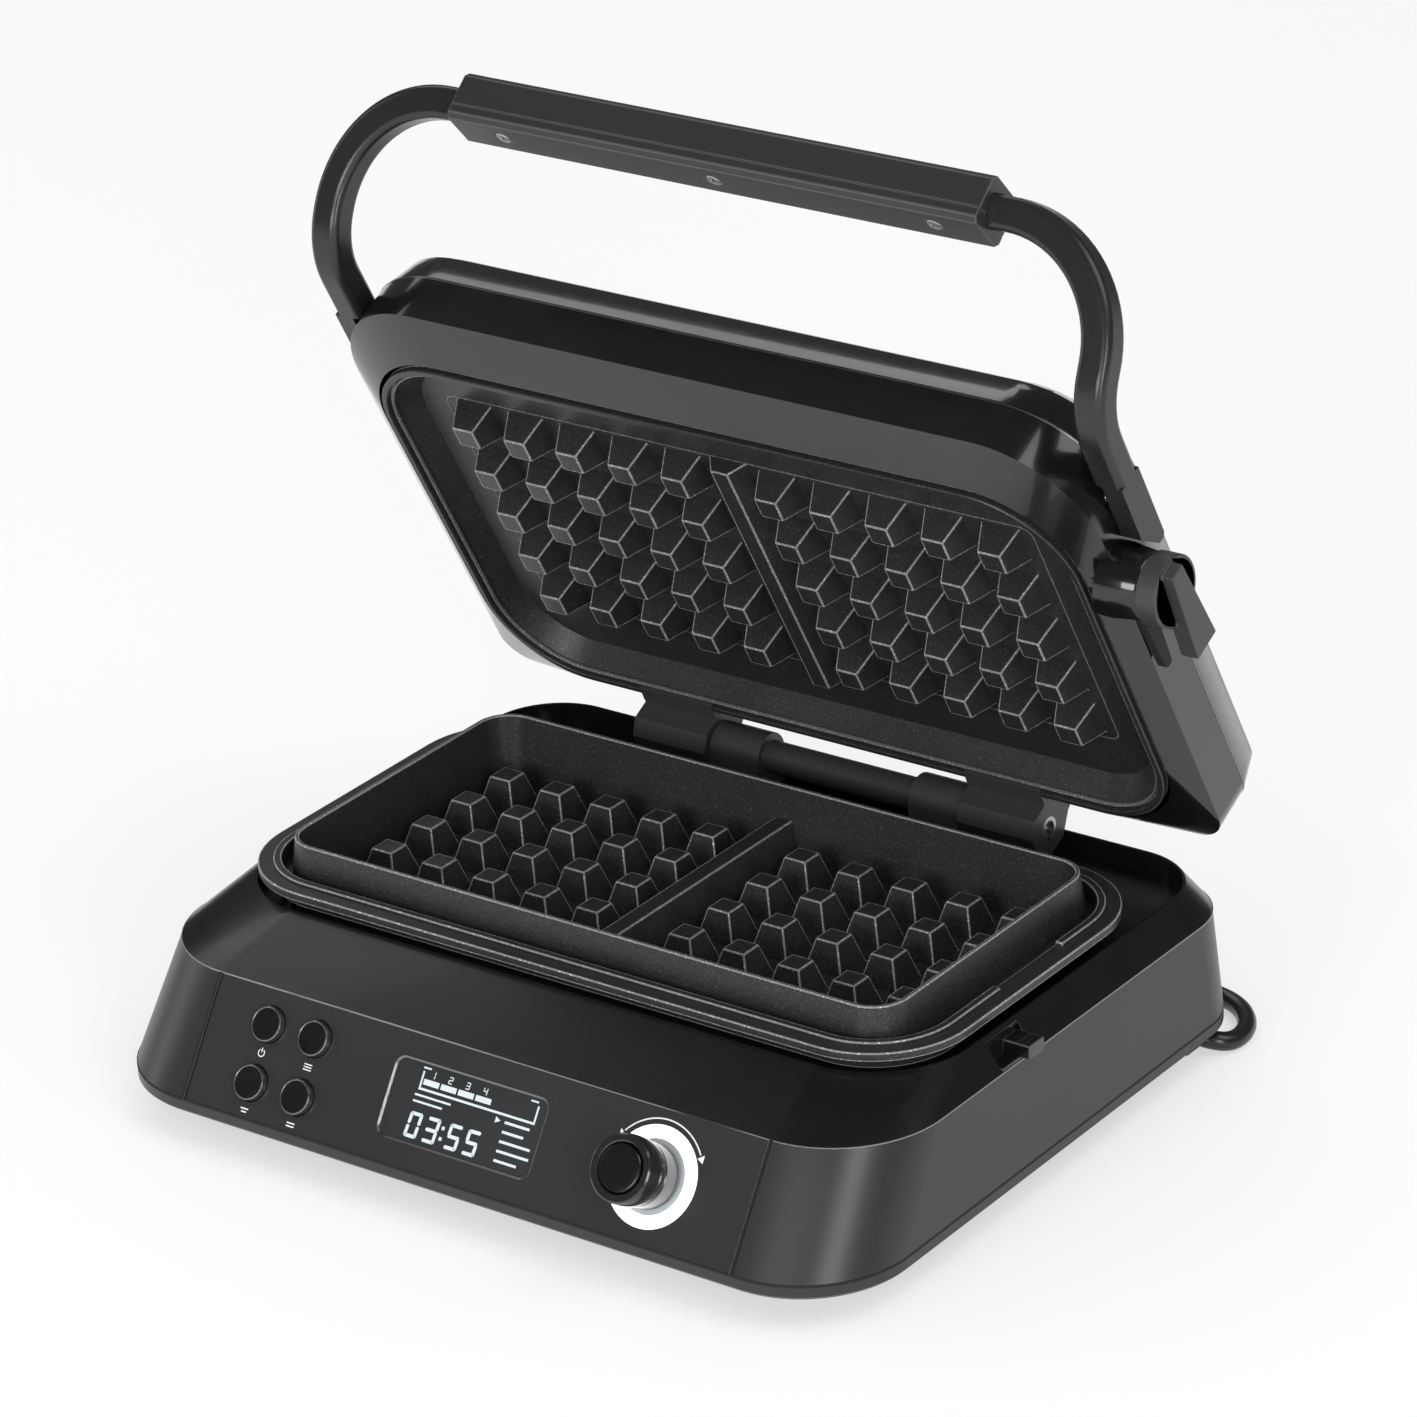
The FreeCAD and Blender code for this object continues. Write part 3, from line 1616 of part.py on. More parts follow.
def make_boards():
    board = padded_plate(
        "control_board",
        "XY_Plane",
        rectangle(dim.board_width, dim.board_height),
        dim.board_thickness,
    )
    keep("control_board", board, on_panel(0, dim.board_offset, -dim.board_depth - dim.board_thickness))
    board_z = tray_inside + dim.power_board_rise
    power = padded_plate(
        "power_board",
        "XY_Plane",
        rectangle(dim.power_board_width, dim.power_board_depth),
        dim.board_thickness,
    )
    keep("power_board", power, FreeCAD.Placement(
        vector(0, dim.power_board_y, board_z), FreeCAD.Rotation()))
    relays = [
        add_box(
            f"relay_{label}",
            (dim.relay_length, dim.relay_width, dim.relay_height),
            (
                -dim.relay_length / 2 + side * (dim.relay_length / 2 + 5),
                dim.power_board_y - dim.relay_width / 2,
                board_z + dim.board_thickness,
            ),
        )
        for label, side in (("left", -1), ("right", 1))
    ]
    keep("power_relays", add_group("power_relays", relays))
    terminal = add_box(
        "terminal_block",
        (dim.terminal_length, dim.terminal_width, dim.terminal_height),
        (
            cord_exit_x - dim.relief_length - 1.5 * dim.terminal_length,
            cord_exit_y - dim.terminal_width / 2,
            tray_inside,
        ),
    )
    keep("terminal_block", terminal)


make_control_panel()
make_buttons()
make_switches()
make_display()
make_dial()
make_boards()

# Mains lead: guide and relief under the rear right corner, free run, coil, tie and plug
relief_start = cord_exit_x - dim.cord_start_gap - dim.relief_length
coil_x = cord_exit_x - dim.coil_aside
coil_y = cord_exit_y + dim.coil_behind
guide_start = relief_start - 4
guide_half = dim.relief_radius + 0.5 + dim.guide_wall
floor_lie = dim.cord_radius + 0.2
coil_low = dim.cord_radius + dim.coil_lift
coil_high = coil_low + dim.coil_layer
coil_turns_in = 1.5
coil_turns_climb = 0.5
coil_turns_out = 1.0


def make_cord_guide():
    shell = add_box(
        "guide_shell",
        (dim.guide_length, 2 * guide_half, dim.foot_rise - dim.guide_wall / 2),
        (guide_start, cord_exit_y - guide_half, dim.guide_wall / 2),
    )
    channel_floor = dim.cord_exit_z - dim.relief_radius - dim.fit_clearance
    channel = add_box(
        "guide_channel",
        (dim.guide_length, 2 * (guide_half - dim.guide_wall), dim.foot_rise),
        (relief_start, cord_exit_y - guide_half + dim.guide_wall, channel_floor),
    )
    keep("cord_guide", add_cut("cord_guide", shell, channel))


def make_strain_relief():
    root = dim.relief_length * 0.3
    relief = turned(
        "strain_relief",
        [
            (0, 0),
            (dim.relief_radius, 0),
            (dim.relief_radius, root),
            (dim.cord_radius + 0.4, dim.relief_length),
            (0, dim.relief_length),
        ],
    )
    keep("strain_relief", relief, FreeCAD.Placement(
        vector(relief_start, cord_exit_y, dim.cord_exit_z),
        FreeCAD.Rotation(vector(0, 1, 0), 90),
    ))


def coil_place(turns):
    """Centre line of the coil after so many turns, clockwise seen from above."""
    inner = float(dim.coil_radius) - coil_turns_in * float(dim.coil_step)
    climbed = turns - coil_turns_in
    if climbed <= 0:
        radius = float(dim.coil_radius) - turns * float(dim.coil_step)
        z = float(coil_low)
    elif climbed <= coil_turns_climb:
        share = climbed / coil_turns_climb
        radius = inner - float(dim.coil_dip) * math.sin(math.pi * share)
        z = float(coil_low) + float(dim.coil_layer) * share * share * (3 - 2 * share)
    else:
        radius = inner + (climbed - coil_turns_climb) * float(dim.coil_step)
        z = float(coil_high)
    angle = -math.pi / 2 - 2 * math.pi * turns
    return FreeCAD.Vector(
        float(coil_x) + radius * math.cos(angle),
        float(coil_y) + radius * math.sin(angle),
        z,
    )


def coil_heading(turns, last):
    """Direction along the coil, level and along -X at both of its ends."""
    if turns in (0, last):
        return FreeCAD.Vector(-1, 0, 0)
    step = 0.001
    return (coil_place(turns + step) - coil_place(turns - step)).normalize()


def biarc(start, start_way, end, end_way):
    """Two tangent arcs between two points with given directions."""
    chord = end - start
    ways = start_way + end_way
    spread = 2 * (1 - start_way.dot(end_way))
    along = chord.dot(ways)
    reach = (-along + math.sqrt(along * along + spread * chord.dot(chord))) / spread
    first_corner = start + start_way * reach
    last_corner = end - end_way * reach
    joint = (first_corner + last_corner) * 0.5
    edges = []
    for begin, corner, finish in ((start, first_corner, joint), (joint, last_corner, end)):
        half_turn = (corner - begin).getAngle(finish - corner) / 2
        middle = (begin + finish) * 0.5
        bow = corner + (middle - corner) * (1 / (1 + math.cos(half_turn)))
        edges.append(Part.Arc(begin, bow, finish).toShape())
    return edges


def least_self_gap(path, diameter):
    """Smallest clear gap between stretches of a tube over two diameters apart along it."""
    spacing = 2.0
    points = path.discretize(Distance=spacing)
    skip = int(3 * diameter / spacing)
    least = min(
        (points[first] - points[second]).Length
        for first in range(len(points))
        for second in range(first + skip, len(points))
    )
    return least - diameter


# Free run of the lead, chosen by hand: across and behind its exit, and height above the floor
CORD_ROUTE = [
    (0, 0, 6.4),
    (8.5, 0.3, 5.4),
    (15, 6.5, 3.7),
    (13.5, 19, 3.7),
    (3.5, 30.5, 3.7),
    (-11, 35, 3.7),
    (-33, 34, 3.7),
    (-68, 38.5, 3.7),
    (-108, 35.5, 3.9),
    (-138, 32.5, 4.6),
    (-164, 32.5, 4.6),
]


def make_cord():
    route = [vector(cord_exit_x + x, cord_exit_y + y, z) for x, y, z in CORD_ROUTE]
    radii = []
    for before, corner, after in zip(route, route[1:], route[2:]):
        turn = (corner - before).getAngle(after - corner)
        shorter = min((corner - before).Length, (after - corner).Length)
        radii.append(0.45 * shorter / math.tan(turn / 2))
    print("cord radii", [round(radius, 1) for radius in radii])
    path = rounded_path(route, radii)
    cord = tube(path, dim.cord_radius, route[0], route[1] - route[0])
    section = math.pi * float(dim.cord_radius) ** 2
    print("cord length", round(path.Length, 1), "volume ratio", cord.Volume / (section * path.Length))
    feature("power_cord", cord)


def make_cord_coil():
    turns = coil_turns_in + coil_turns_climb + coil_turns_out
    quarters = int(round(4 * turns))
    diameter = 2 * float(dim.cord_radius)
    start = coil_place(0)
    lead_in = start + FreeCAD.Vector(diameter, 0, 0)
    edges = [Part.LineSegment(lead_in, start).toShape()]
    for quarter in range(quarters):
        begin, finish = quarter / 4, (quarter + 1) / 4
        edges.extend(
            biarc(
                coil_place(begin),
                coil_heading(begin, turns),
                coil_place(finish),
                coil_heading(finish, turns),
            )
        )
    end = coil_place(turns)
    tail = end - vector(dim.coil_tail, 0, 0)
    edges.append(Part.LineSegment(end, tail).toShape())
    path = Part.Wire(edges)
    coil = tube(path, dim.cord_radius, lead_in, FreeCAD.Vector(-1, 0, 0))
    section = math.pi * float(dim.cord_radius) ** 2
    print("coil length", round(path.Length, 1), "volume ratio", coil.Volume / (section * path.Length))
    print("coil least gap to itself", round(least_self_gap(path, diameter), 2))
    feature("cord_coil", coil)
    return tail


def make_cord_tie():
    play = 0.3
    least_radius = dim.coil_radius - coil_turns_in * dim.coil_step - dim.coil_dip
    inner_radius = float(least_radius - dim.cord_radius) - play
    outer_radius = float(dim.coil_radius - 0.75 * dim.coil_step + dim.cord_radius) + play
    low = float(coil_low - dim.cord_radius) - play
    high = float(coil_high + dim.cord_radius) + play
    wall = float(dim.tie_thickness)
    half = float(dim.tie_width) / 2
    x, y = float(coil_x), float(coil_y)
    band = brick(
        (x + inner_radius - wall, x + outer_radius + wall),
        (y - half, y + half),
        (low - wall, high + wall),
    )
    room = brick((x + inner_radius, x + outer_radius), (y - half, y + half), (low, high))
    feature("cord_tie", band.cut(room))


def make_plug(tail):
    boot = dim.plug_length * 0.35
    shoulder = dim.plug_length * 0.47
    plug = turned(
        "plug_body",
        [
            (0, 0),
            (dim.cord_radius + 0.8, 0),
            (dim.cord_radius + 2.5, boot),
            (dim.plug_radius, shoulder),
            (dim.plug_radius, dim.plug_length - 1.5),
            (dim.plug_radius - 1.5, dim.plug_length),
            (0, dim.plug_length),
        ],
    )
    turn = FreeCAD.Rotation(vector(0, 1, 0), -90)
    keep("plug_body", plug, FreeCAD.Placement(tail, turn))
    pins = [
        add_cylinder(
            f"plug_pin_{label}",
            dim.plug_pin_radius,
            dim.plug_pin_length,
            None,
            FreeCAD.Placement(
                tail + vector(-dim.plug_length, side * dim.plug_pin_spacing / 2, 0), turn
            ),
        )
        for label, side in (("front", -1), ("rear", 1))
    ]
    keep("plug_pins", add_group("plug_pins", pins))


make_cord_guide()
make_strain_relief()
make_cord()
plug_start = make_cord_coil()
make_cord_tie()
make_plug(plug_start)

# Check every object and write each piece
doc.recompute()
for thing in doc.Objects:
    if "Invalid" in thing.State or "Error" in thing.State:
        raise RuntimeError(f"{thing.Label} failed: {thing.State}")
for name, thing in nodes.items():
    if thing.Shape.isNull() or not thing.Shape.isValid() or not thing.Shape.Solids:
        raise RuntimeError(f"{name} has no valid solid")
os.makedirs("parts", exist_ok=True)
for name, thing in nodes.items():
    thing.Shape.exportStep(f"parts/{name}.step")
print(len(nodes), "pieces written")
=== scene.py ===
import json
import math

import bmesh
import bpy
from mathutils import Matrix, Vector


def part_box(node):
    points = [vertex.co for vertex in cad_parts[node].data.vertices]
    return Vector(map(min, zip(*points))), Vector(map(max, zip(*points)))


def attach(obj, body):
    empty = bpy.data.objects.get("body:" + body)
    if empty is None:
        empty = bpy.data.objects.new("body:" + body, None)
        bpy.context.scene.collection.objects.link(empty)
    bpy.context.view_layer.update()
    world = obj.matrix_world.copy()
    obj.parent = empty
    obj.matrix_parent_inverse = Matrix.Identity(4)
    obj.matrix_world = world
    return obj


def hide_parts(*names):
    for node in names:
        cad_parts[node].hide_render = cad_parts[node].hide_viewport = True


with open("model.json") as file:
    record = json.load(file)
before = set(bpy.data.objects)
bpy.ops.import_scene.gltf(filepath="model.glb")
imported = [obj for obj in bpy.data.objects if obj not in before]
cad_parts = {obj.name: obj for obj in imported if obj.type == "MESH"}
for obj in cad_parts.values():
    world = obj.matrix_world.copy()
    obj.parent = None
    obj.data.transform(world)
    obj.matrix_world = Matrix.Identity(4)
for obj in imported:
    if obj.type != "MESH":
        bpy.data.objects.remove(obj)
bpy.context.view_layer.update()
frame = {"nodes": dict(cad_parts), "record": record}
scene = bpy.context.scene
scene.view_settings.view_transform = "Standard"
# Lengths are in millimetres, and MM turns them into metres
MM = 0.001
body_of_node = {
    node: body
    for body, nodes in frame["record"]["behaviour"]["bodies"].items()
    for node in nodes
}


# Shader arithmetic
class Wire:
    """A shader socket that takes part in Python arithmetic."""

    def __init__(self, finish, socket):
        self.finish = finish
        self.socket = socket

    def _math(self, operation, first, second):
        return self.finish.node("ShaderNodeMath", {"operation": operation}, {0: first, 1: second})

    def __add__(self, other):
        return self._math("ADD", self, other)

    def __radd__(self, other):
        return self._math("ADD", other, self)

    def __sub__(self, other):
        return self._math("SUBTRACT", self, other)

    def __rsub__(self, other):
        return self._math("SUBTRACT", other, self)

    def __mul__(self, other):
        return self._math("MULTIPLY", self, other)

    def __rmul__(self, other):
        return self._math("MULTIPLY", other, self)


class Finish:
    """One material, with its nodes made by expressions."""

    def __init__(self, name, **constants):
        self.material = bpy.data.materials.new(name)
        self.material.use_nodes = True
        self.tree = self.material.node_tree
        self.shader = self.tree.nodes["Principled BSDF"]
        for socket, value in constants.items():
            self.shader.inputs[socket.replace("_", " ")].default_value = value

    def node(self, kind, settings=None, inputs=None, output=0):
        made = self.tree.nodes.new(kind)
        for key, value in (settings or {}).items():
            setattr(made, key, value)
        for key, value in (inputs or {}).items():
            self.feed(made.inputs[key], value)
        return Wire(self, made.outputs[output])

    def feed(self, socket, value):
        if isinstance(value, Wire):
            self.tree.links.new(value.socket, socket)
        else:
            socket.default_value = value

    def place(self):
        return self.node("ShaderNodeTexCoord", output="Object")

    def stretched(self, x, y, z):
        return self.node("ShaderNodeMapping", None, {"Vector": self.place(), "Scale": (x, y, z)})

    def noise(self, scale, detail=2.0, roughness=0.5, at=None):
        inputs = {
            "Vector": at or self.place(),
            "Scale": scale,
            "Detail": detail,
            "Roughness": roughness,
        }
        return self.node("ShaderNodeTexNoise", None, inputs)

    def band(self, value, low, high, start=0.0, end=1.0):
        inputs = {"Value": value, "From Min": low, "From Max": high, "To Min": start, "To Max": end}
        return self.node("ShaderNodeMapRange", {"clamp": True}, inputs)

    def mix(self, factor, first, second):
        inputs = {0: factor, 6: first, 7: second}
        return self.node("ShaderNodeMix", {"data_type": "RGBA"}, inputs, output=2)

    def bump(self, height, distance, strength=1.0):
        inputs = {"Height": height, "Distance": distance, "Strength": strength}
        self.feed(self.shader.inputs["Normal"], self.node("ShaderNodeBump", None, inputs))

    def set(self, socket, value):
        self.feed(self.shader.inputs[socket], value)


def grey(level, blue=0.0):
    """A neutral colour, or one with a little more blue."""
    return (level, level, level + blue, 1.0)


def moulded_finish(name, level, rough, grain, spread=0.1):
    """Moulded plastic: faint clouding of colour, uneven sheen and a fine grain."""
    finish = Finish(name)
    cloud = finish.noise(14.0, 3.0)
    fine = finish.noise(grain, 2.0, 0.6)
    shade = cloud * 0.6 + fine * 0.4
    dark, light = grey(level * (1 - spread)), grey(level * (1 + spread), 0.001)
    finish.set("Base Color", finish.mix(shade, dark, light))
    finish.set("Roughness", finish.band(shade, 0.3, 0.7, rough - 0.04, rough + 0.05))
    finish.bump(fine, 0.00004, 0.35)
    return finish.material


def gloss_finish(name, level, rough, coat=0.5, specular=0.5):
    """Polished black shell with the slight waviness and dust-fine marks of handling."""
    finish = Finish(name, Coat_Roughness=0.04, Specular_IOR_Level=specular)
    wave = finish.noise(5.0, 2.0)
    smear = finish.noise(60.0, 4.0, 0.65)
    finish.set("Base Color", finish.mix(smear, grey(level * 0.8), grey(level * 1.25, 0.0008)))
    finish.set("Roughness", finish.band(smear, 0.35, 0.75, rough, rough + 0.07))
    finish.set("Coat Weight", finish.band(wave, 0.3, 0.7, coat * 0.7, coat * 1.2))
    finish.bump(wave, 0.0002, 0.15)
    return finish.material


def non_stick_finish(name, low, high, fleck_level):
    """Dark cast plate: pebbled coating with pale flecks."""
    finish = Finish(name)
    pebble = finish.noise(950.0, 2.0, 0.55)
    fleck = finish.noise(1500.0, 1.0)
    patch = finish.noise(30.0, 3.0)
    flecks = finish.band(fleck, 0.6, 0.68)
    ground = finish.mix(patch, grey(low, 0.001), grey(high, 0.0015))
    finish.set("Base Color", finish.mix(flecks * 0.7, ground, grey(fleck_level, 0.006)))
    finish.set("Roughness", finish.band(patch * 0.5 + pebble * 0.5, 0.3, 0.7, 0.3, 0.44))
    finish.set("Metallic", flecks * 0.5)
    finish.bump(pebble, 0.0001, 0.55)
    return finish.material


def metal_finish(name, level, rough, streak=(1.0, 1.0, 1.0), metallic=1.0):
    """Metal with fine drawn lines along one way."""
    finish = Finish(name)
    lines = finish.noise(700.0, 2.0, 0.6, finish.stretched(*streak))
    stain = finish.noise(40.0, 3.0)
    finish.set("Base Color", finish.mix(stain, grey(level * 0.9), grey(level * 1.1)))
    finish.set("Metallic", finish.band(stain, 0.2, 0.8, metallic * 0.95, metallic))
    finish.set("Roughness", finish.band(lines, 0.3, 0.7, rough - 0.05, rough + 0.06))
    finish.bump(lines, 0.00002, 0.3)
    return finish.material


def tinted_finish(name, colour, rough, scale, metallic=0.0):
    """A plain coloured inner part with mottling."""
    finish = Finish(name, Metallic=metallic)
    mottle = finish.noise(scale, 3.0)
    dark = tuple(channel * 0.8 for channel in colour) + (1.0,)
    light = tuple(min(channel * 1.15, 1.0) for channel in colour) + (1.0,)
    finish.set("Base Color", finish.mix(mottle, dark, light))
    finish.set("Roughness", finish.band(mottle, 0.3, 0.7, rough - 0.06, rough + 0.06))
    finish.bump(mottle, 0.00003, 0.3)
    return finish.material


def glow_finish(name, colour, strength, dim_scale):
    """A lit diffuser, very slightly uneven in its glow."""
    finish = Finish(name, Roughness=0.45, Emission_Strength=strength)
    haze = finish.noise(dim_scale, 2.0)
    low = tuple(channel * 0.94 for channel in colour) + (1.0,)
    high = colour + (1.0,)
    finish.set("Base Color", finish.mix(haze, low, high))
    finish.set("Emission Color", finish.mix(haze, low, high))
    return finish.material


def display_finish():
    """Dark grey display glass with a faint haze and grain."""
    finish = Finish("display_glass_dark", Coat_Roughness=0.03, Coat_Weight=0.5)
    haze = finish.noise(25.0, 2.0)
    grain = finish.noise(2500.0, 1.0)
    shade = haze * 0.75 + grain * 0.25
    dark, light = (0.017, 0.019, 0.02, 1), (0.03, 0.032, 0.034, 1)
    finish.set("Base Color", finish.mix(shade, dark, light))
    finish.set("Roughness", finish.band(shade, 0.3, 0.7, 0.2, 0.3))
    return finish.material


# Finishes of the part
charcoal = moulded_finish("satin_charcoal_casing", 0.022, 0.34, 1800.0)
band_charcoal = moulded_finish("bottom_band_charcoal", 0.02, 0.36, 1800.0)
shell_black = gloss_finish("gloss_black_shell", 0.005, 0.15)
deck_black = gloss_finish("gloss_black_deck", 0.007, 0.2, 0.08, 0.3)
knob_black = gloss_finish("knob_black", 0.012, 0.2)
coated = non_stick_finish("non_stick_coating", 0.014, 0.02, 0.1)
# Lighter coating with pale flecks for the plates' convex peg edges: a painted highlight along them.
coated_highlight_edge = non_stick_finish("non_stick_painted_highlight_edge", 0.15, 0.24, 0.9)
# Lighter coating for the upper plate's bead and the line round its pegs: painted highlight lines.
coated_highlight_line = non_stick_finish("non_stick_painted_highlight_line", 0.08, 0.12, 0.5)
# Lighter plastic for the convex edges of the grips and the catch: a painted highlight along them.
grip_highlight_edge = moulded_finish("grip_painted_highlight_edge", 0.06, 0.38, 1100.0, 0.3)
bar_black = moulded_finish("satin_black_bar", 0.014, 0.27, 1400.0)
grip_black = moulded_finish("textured_grip", 0.021, 0.4, 1100.0, 0.2)
hinge_black = moulded_finish("satin_black_hinge", 0.032, 0.4, 1400.0)
lock_black = moulded_finish("satin_black_lock", 0.034, 0.42, 1400.0)
hole_black = moulded_finish("deep_slot_black", 0.004, 0.7, 900.0)
button_black = gloss_finish("button_face_black", 0.004, 0.26, 0.3, 0.4)
# Thin bright metal for the strips along the seams and the panel's sides: a painted highlight on
# each seam edge.
seam_highlight_metal = metal_finish("seam_painted_highlight_metal", 0.3, 0.3, (0.05, 1.0, 1.0))
# Metal for the button collars and the display bevel, bright as a painted highlight on their rims.
bevel_highlight_metal = metal_finish("painted_highlight_bevel_metal", 0.22, 0.3, (1.0, 1.0, 0.05))
screw_steel = metal_finish("dark_screw_steel", 0.4, 0.3)
pin_steel = metal_finish("ground_pin_steel", 0.5, 0.25, (0.05, 1.0, 1.0))
sheet_steel = metal_finish("galvanised_sheet", 0.5, 0.4)
element_steel = metal_finish("element_sheath", 0.2, 0.5)
turned_brass = tinted_finish("turned_brass", (0.6, 0.43, 0.18), 0.3, 90.0, 1.0)
foot_rubber = tinted_finish("foot_rubber", (0.018, 0.018, 0.018), 0.75, 500.0)
flex_black = moulded_finish("shiny_black_flex", 0.01, 0.24, 700.0)
plug_black = moulded_finish("plug_black", 0.014, 0.4, 900.0)
board_green = tinted_finish("board_green", (0.03, 0.16, 0.06), 0.4, 200.0)
part_dark = tinted_finish("component_dark", (0.02, 0.02, 0.022), 0.4, 300.0)
fired_white = tinted_finish("fired_white", (0.7, 0.67, 0.6), 0.5, 200.0)
ring_glow = glow_finish("ring_glow", (1.0, 1.0, 1.0), 1.1, 60.0)
# Pale blue-grey for the cone round the knob's foot, painted as the light ring's glow spilling onto
# it.
ring_spill_paint = tinted_finish("ring_painted_light_spill", (0.5, 0.54, 0.57), 0.35, 60.0)
segment_pale = glow_finish("display_segment", (0.5, 0.56, 0.58), 0.24, 300.0)
print_white = tinted_finish("panel_print", (0.75, 0.75, 0.75), 0.5, 900.0)
display_dark = display_finish()


# Mesh helpers
WELD = 2e-6
SEAM_WELD = 1e-7
FLAT_ANGLE = 0.6
EASE_PROFILE = 0.6


def finish_piece(obj, material, body):
    """A new object in its finish, on its body and with its material slot."""
    obj.data.materials.append(material)
    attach(obj, body)
    return obj


def piece_from(name, bm, material, body, smooth_angle=35.0):
    """A finished object from a bmesh, with its edges sharp past an angle."""
    bmesh.ops.recalc_face_normals(bm, faces=bm.faces)
    mark_sharp_edges(bm, smooth_angle)
    mesh = bpy.data.meshes.new(name)
    bm.to_mesh(mesh)
    bm.free()
    obj = bpy.data.objects.new(name, mesh)
    scene.collection.objects.link(obj)
    return finish_piece(obj, material, body)


def mark_sharp_edges(bm, smooth_angle):
    """Smooth faces everywhere, with the edges past an angle kept sharp."""
    limit = math.radians(smooth_angle)
    for face in bm.faces:
        face.smooth = True
    for edge in bm.edges:
        edge.smooth = len(edge.link_faces) == 2 and edge.calc_face_angle(0.0) < limit


def eased(
    node, width, material, segments=2, least_angle=25.0, smooth_angle=35.0, edge=None, clamp=True
):
    """A node's own shape with its sharp edges eased, standing for that node.

    Where an edge finish is given, the convex edges alone are eased and take that finish, a lighter
    one that paints a highlight along them.
    """
    bm = bmesh.new()
    bm.from_mesh(frame["nodes"][node].data)
    bmesh.ops.remove_doubles(bm, verts=bm.verts, dist=WELD)
    flat = math.radians(FLAT_ANGLE)
    bmesh.ops.dissolve_limit(bm, angle_limit=flat, verts=bm.verts, edges=bm.edges)
    limit = math.radians(least_angle)
    sharp = [
        side
        for side in bm.edges
        if len(side.link_faces) == 2
        and side.calc_face_angle(0.0) > limit
        and (edge is None or side.is_convex)
    ]
    bmesh.ops.bevel(
        bm,
        geom=sharp,
        offset=width * MM,
        offset_type="OFFSET",
        segments=segments,
        profile=EASE_PROFILE,
        affect="EDGES",
        clamp_overlap=clamp,
        material=1 if edge else -1,
    )
    mark_sharp_edges(bm, smooth_angle)
    mesh = bpy.data.meshes.new(f"{node}_eased")
    bm.to_mesh(mesh)
    bm.free()
    obj = bpy.data.objects.new(f"{node}_eased", mesh)
    scene.collection.objects.link(obj)
    finish_piece(obj, material, body_of_node[node])
    if edge:
        obj.data.materials.append(edge)
    weight = obj.modifiers.new("even_normals", "WEIGHTED_NORMAL")
    weight.keep_sharp = True
    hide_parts(node)
    return obj


def slot_of_node(node):
    """The material slot that the record gives a node."""
    return next(
        part["material_slot"] for part in frame["record"]["subparts"] if part["node"] == node
    )


def painted(node, material):
    """A node kept as it is, with its own finish."""
    obj = frame["nodes"][node]
    obj.data.materials.clear()
    obj.data.materials.append(material)


def lathe(bm, profile, place=Matrix(), steps=64):
    """Turns (radius, height) points, in millimetres, round the local Z axis."""
    rings = []
    for radius, height in profile:
        if radius == 0:
            rings.append([bm.verts.new(place @ Vector((0, 0, height * MM)))])
            continue
        ring = []
        for step in range(steps):
            angle = 2 * math.pi * step / steps
            point = Vector((radius * math.cos(angle), radius * math.sin(angle), height)) * MM
            ring.append(bm.verts.new(place @ point))
        rings.append(ring)
    for lower, upper in zip(rings, rings[1:]):
        for step in range(steps):
            after = (step + 1) % steps
            corners = [
                lower[step % len(lower)],
                lower[after % len(lower)],
                upper[after % len(upper)],
                upper[step % len(upper)],
            ]
            bm.faces.new(list(dict.fromkeys(corners)))


def turned(name, profile, place, material, body, steps=64, smooth_angle=35.0):
    """A turned piece; a profile that ends where it starts is joined into a ring."""
    bm = bmesh.new()
    lathe(bm, profile, place, steps)
    if profile[0] == profile[-1]:
        bmesh.ops.remove_doubles(bm, verts=bm.verts, dist=SEAM_WELD)
    return piece_from(name, bm, material, body, smooth_angle)


def plate_between(bm, outline, low, high, place=Matrix()):
    """A flat shape with thickness, from an outline in millimetres."""
    lower = [bm.verts.new(place @ (Vector((x, y, low)) * MM)) for x, y in outline]
    upper = [bm.verts.new(place @ (Vector((x, y, high)) * MM)) for x, y in outline]
    bm.faces.new(list(reversed(lower)))
    bm.faces.new(upper)
    count = len(outline)
    for index in range(count):
        after = (index + 1) % count
        bm.faces.new((lower[index], lower[after], upper[after], upper[index]))


def box_outline(x, y, width, height):
    """A rectangle from its lower left corner."""
    return [(x, y), (x + width, y), (x + width, y + height), (x, y + height)]


def rounded_outline(half_x, front, rear, front_radius, rear_radius, steps=10):
    """Points round a rounded rectangle, counter-clockwise from its front right corner."""
    corners = (
        (half_x - front_radius, front + front_radius, front_radius, -90),
        (half_x - rear_radius, rear - rear_radius, rear_radius, 0),
        (-half_x + rear_radius, rear - rear_radius, rear_radius, 90),
        (-half_x + front_radius, front + front_radius, front_radius, 180),
    )
    points = []
    for x, y, radius, start in corners:
        for step in range(steps + 1):
            angle = math.radians(start + 90 * step / steps)
            points.append((x + radius * math.cos(angle), y + radius * math.sin(angle)))
    return points


def ring_wall(bm, loops):
    """A closed band through matching loops of points, the last joined to the first."""
    rows = [[bm.verts.new(point) for point in loop] for loop in loops]
    for row, following in zip(rows, rows[1:] + rows[:1]):
        count = len(row)
        for index in range(count):
            after = (index + 1) % count
            bm.faces.new((row[index], row[after], following[after], following[index]))


# Where the panel and the open lid lie: the panel's slope, and places in metres
PANEL_RISE = 38.5
PANEL_RUN = 26.0
PANEL_TILT = math.atan2(PANEL_RISE, PANEL_RUN)
PANEL_MIDDLE = (0, -0.1155, 0.03575)
panel_place = Matrix.Translation(PANEL_MIDDLE) @ Matrix.Rotation(PANEL_TILT, 4, "X")
HINGE = Vector((0, 0.1103, 0.0711))
LID_SWING = math.radians(-62.1)
lid_place = Matrix.Translation(HINGE) @ Matrix.Rotation(LID_SWING, 4, "X")


def lid_point(x, reach, rise):
    """A place on the lid, from its side, reach before the hinge and rise above it."""
    return lid_place @ (Vector((x, -reach, rise)) * MM)


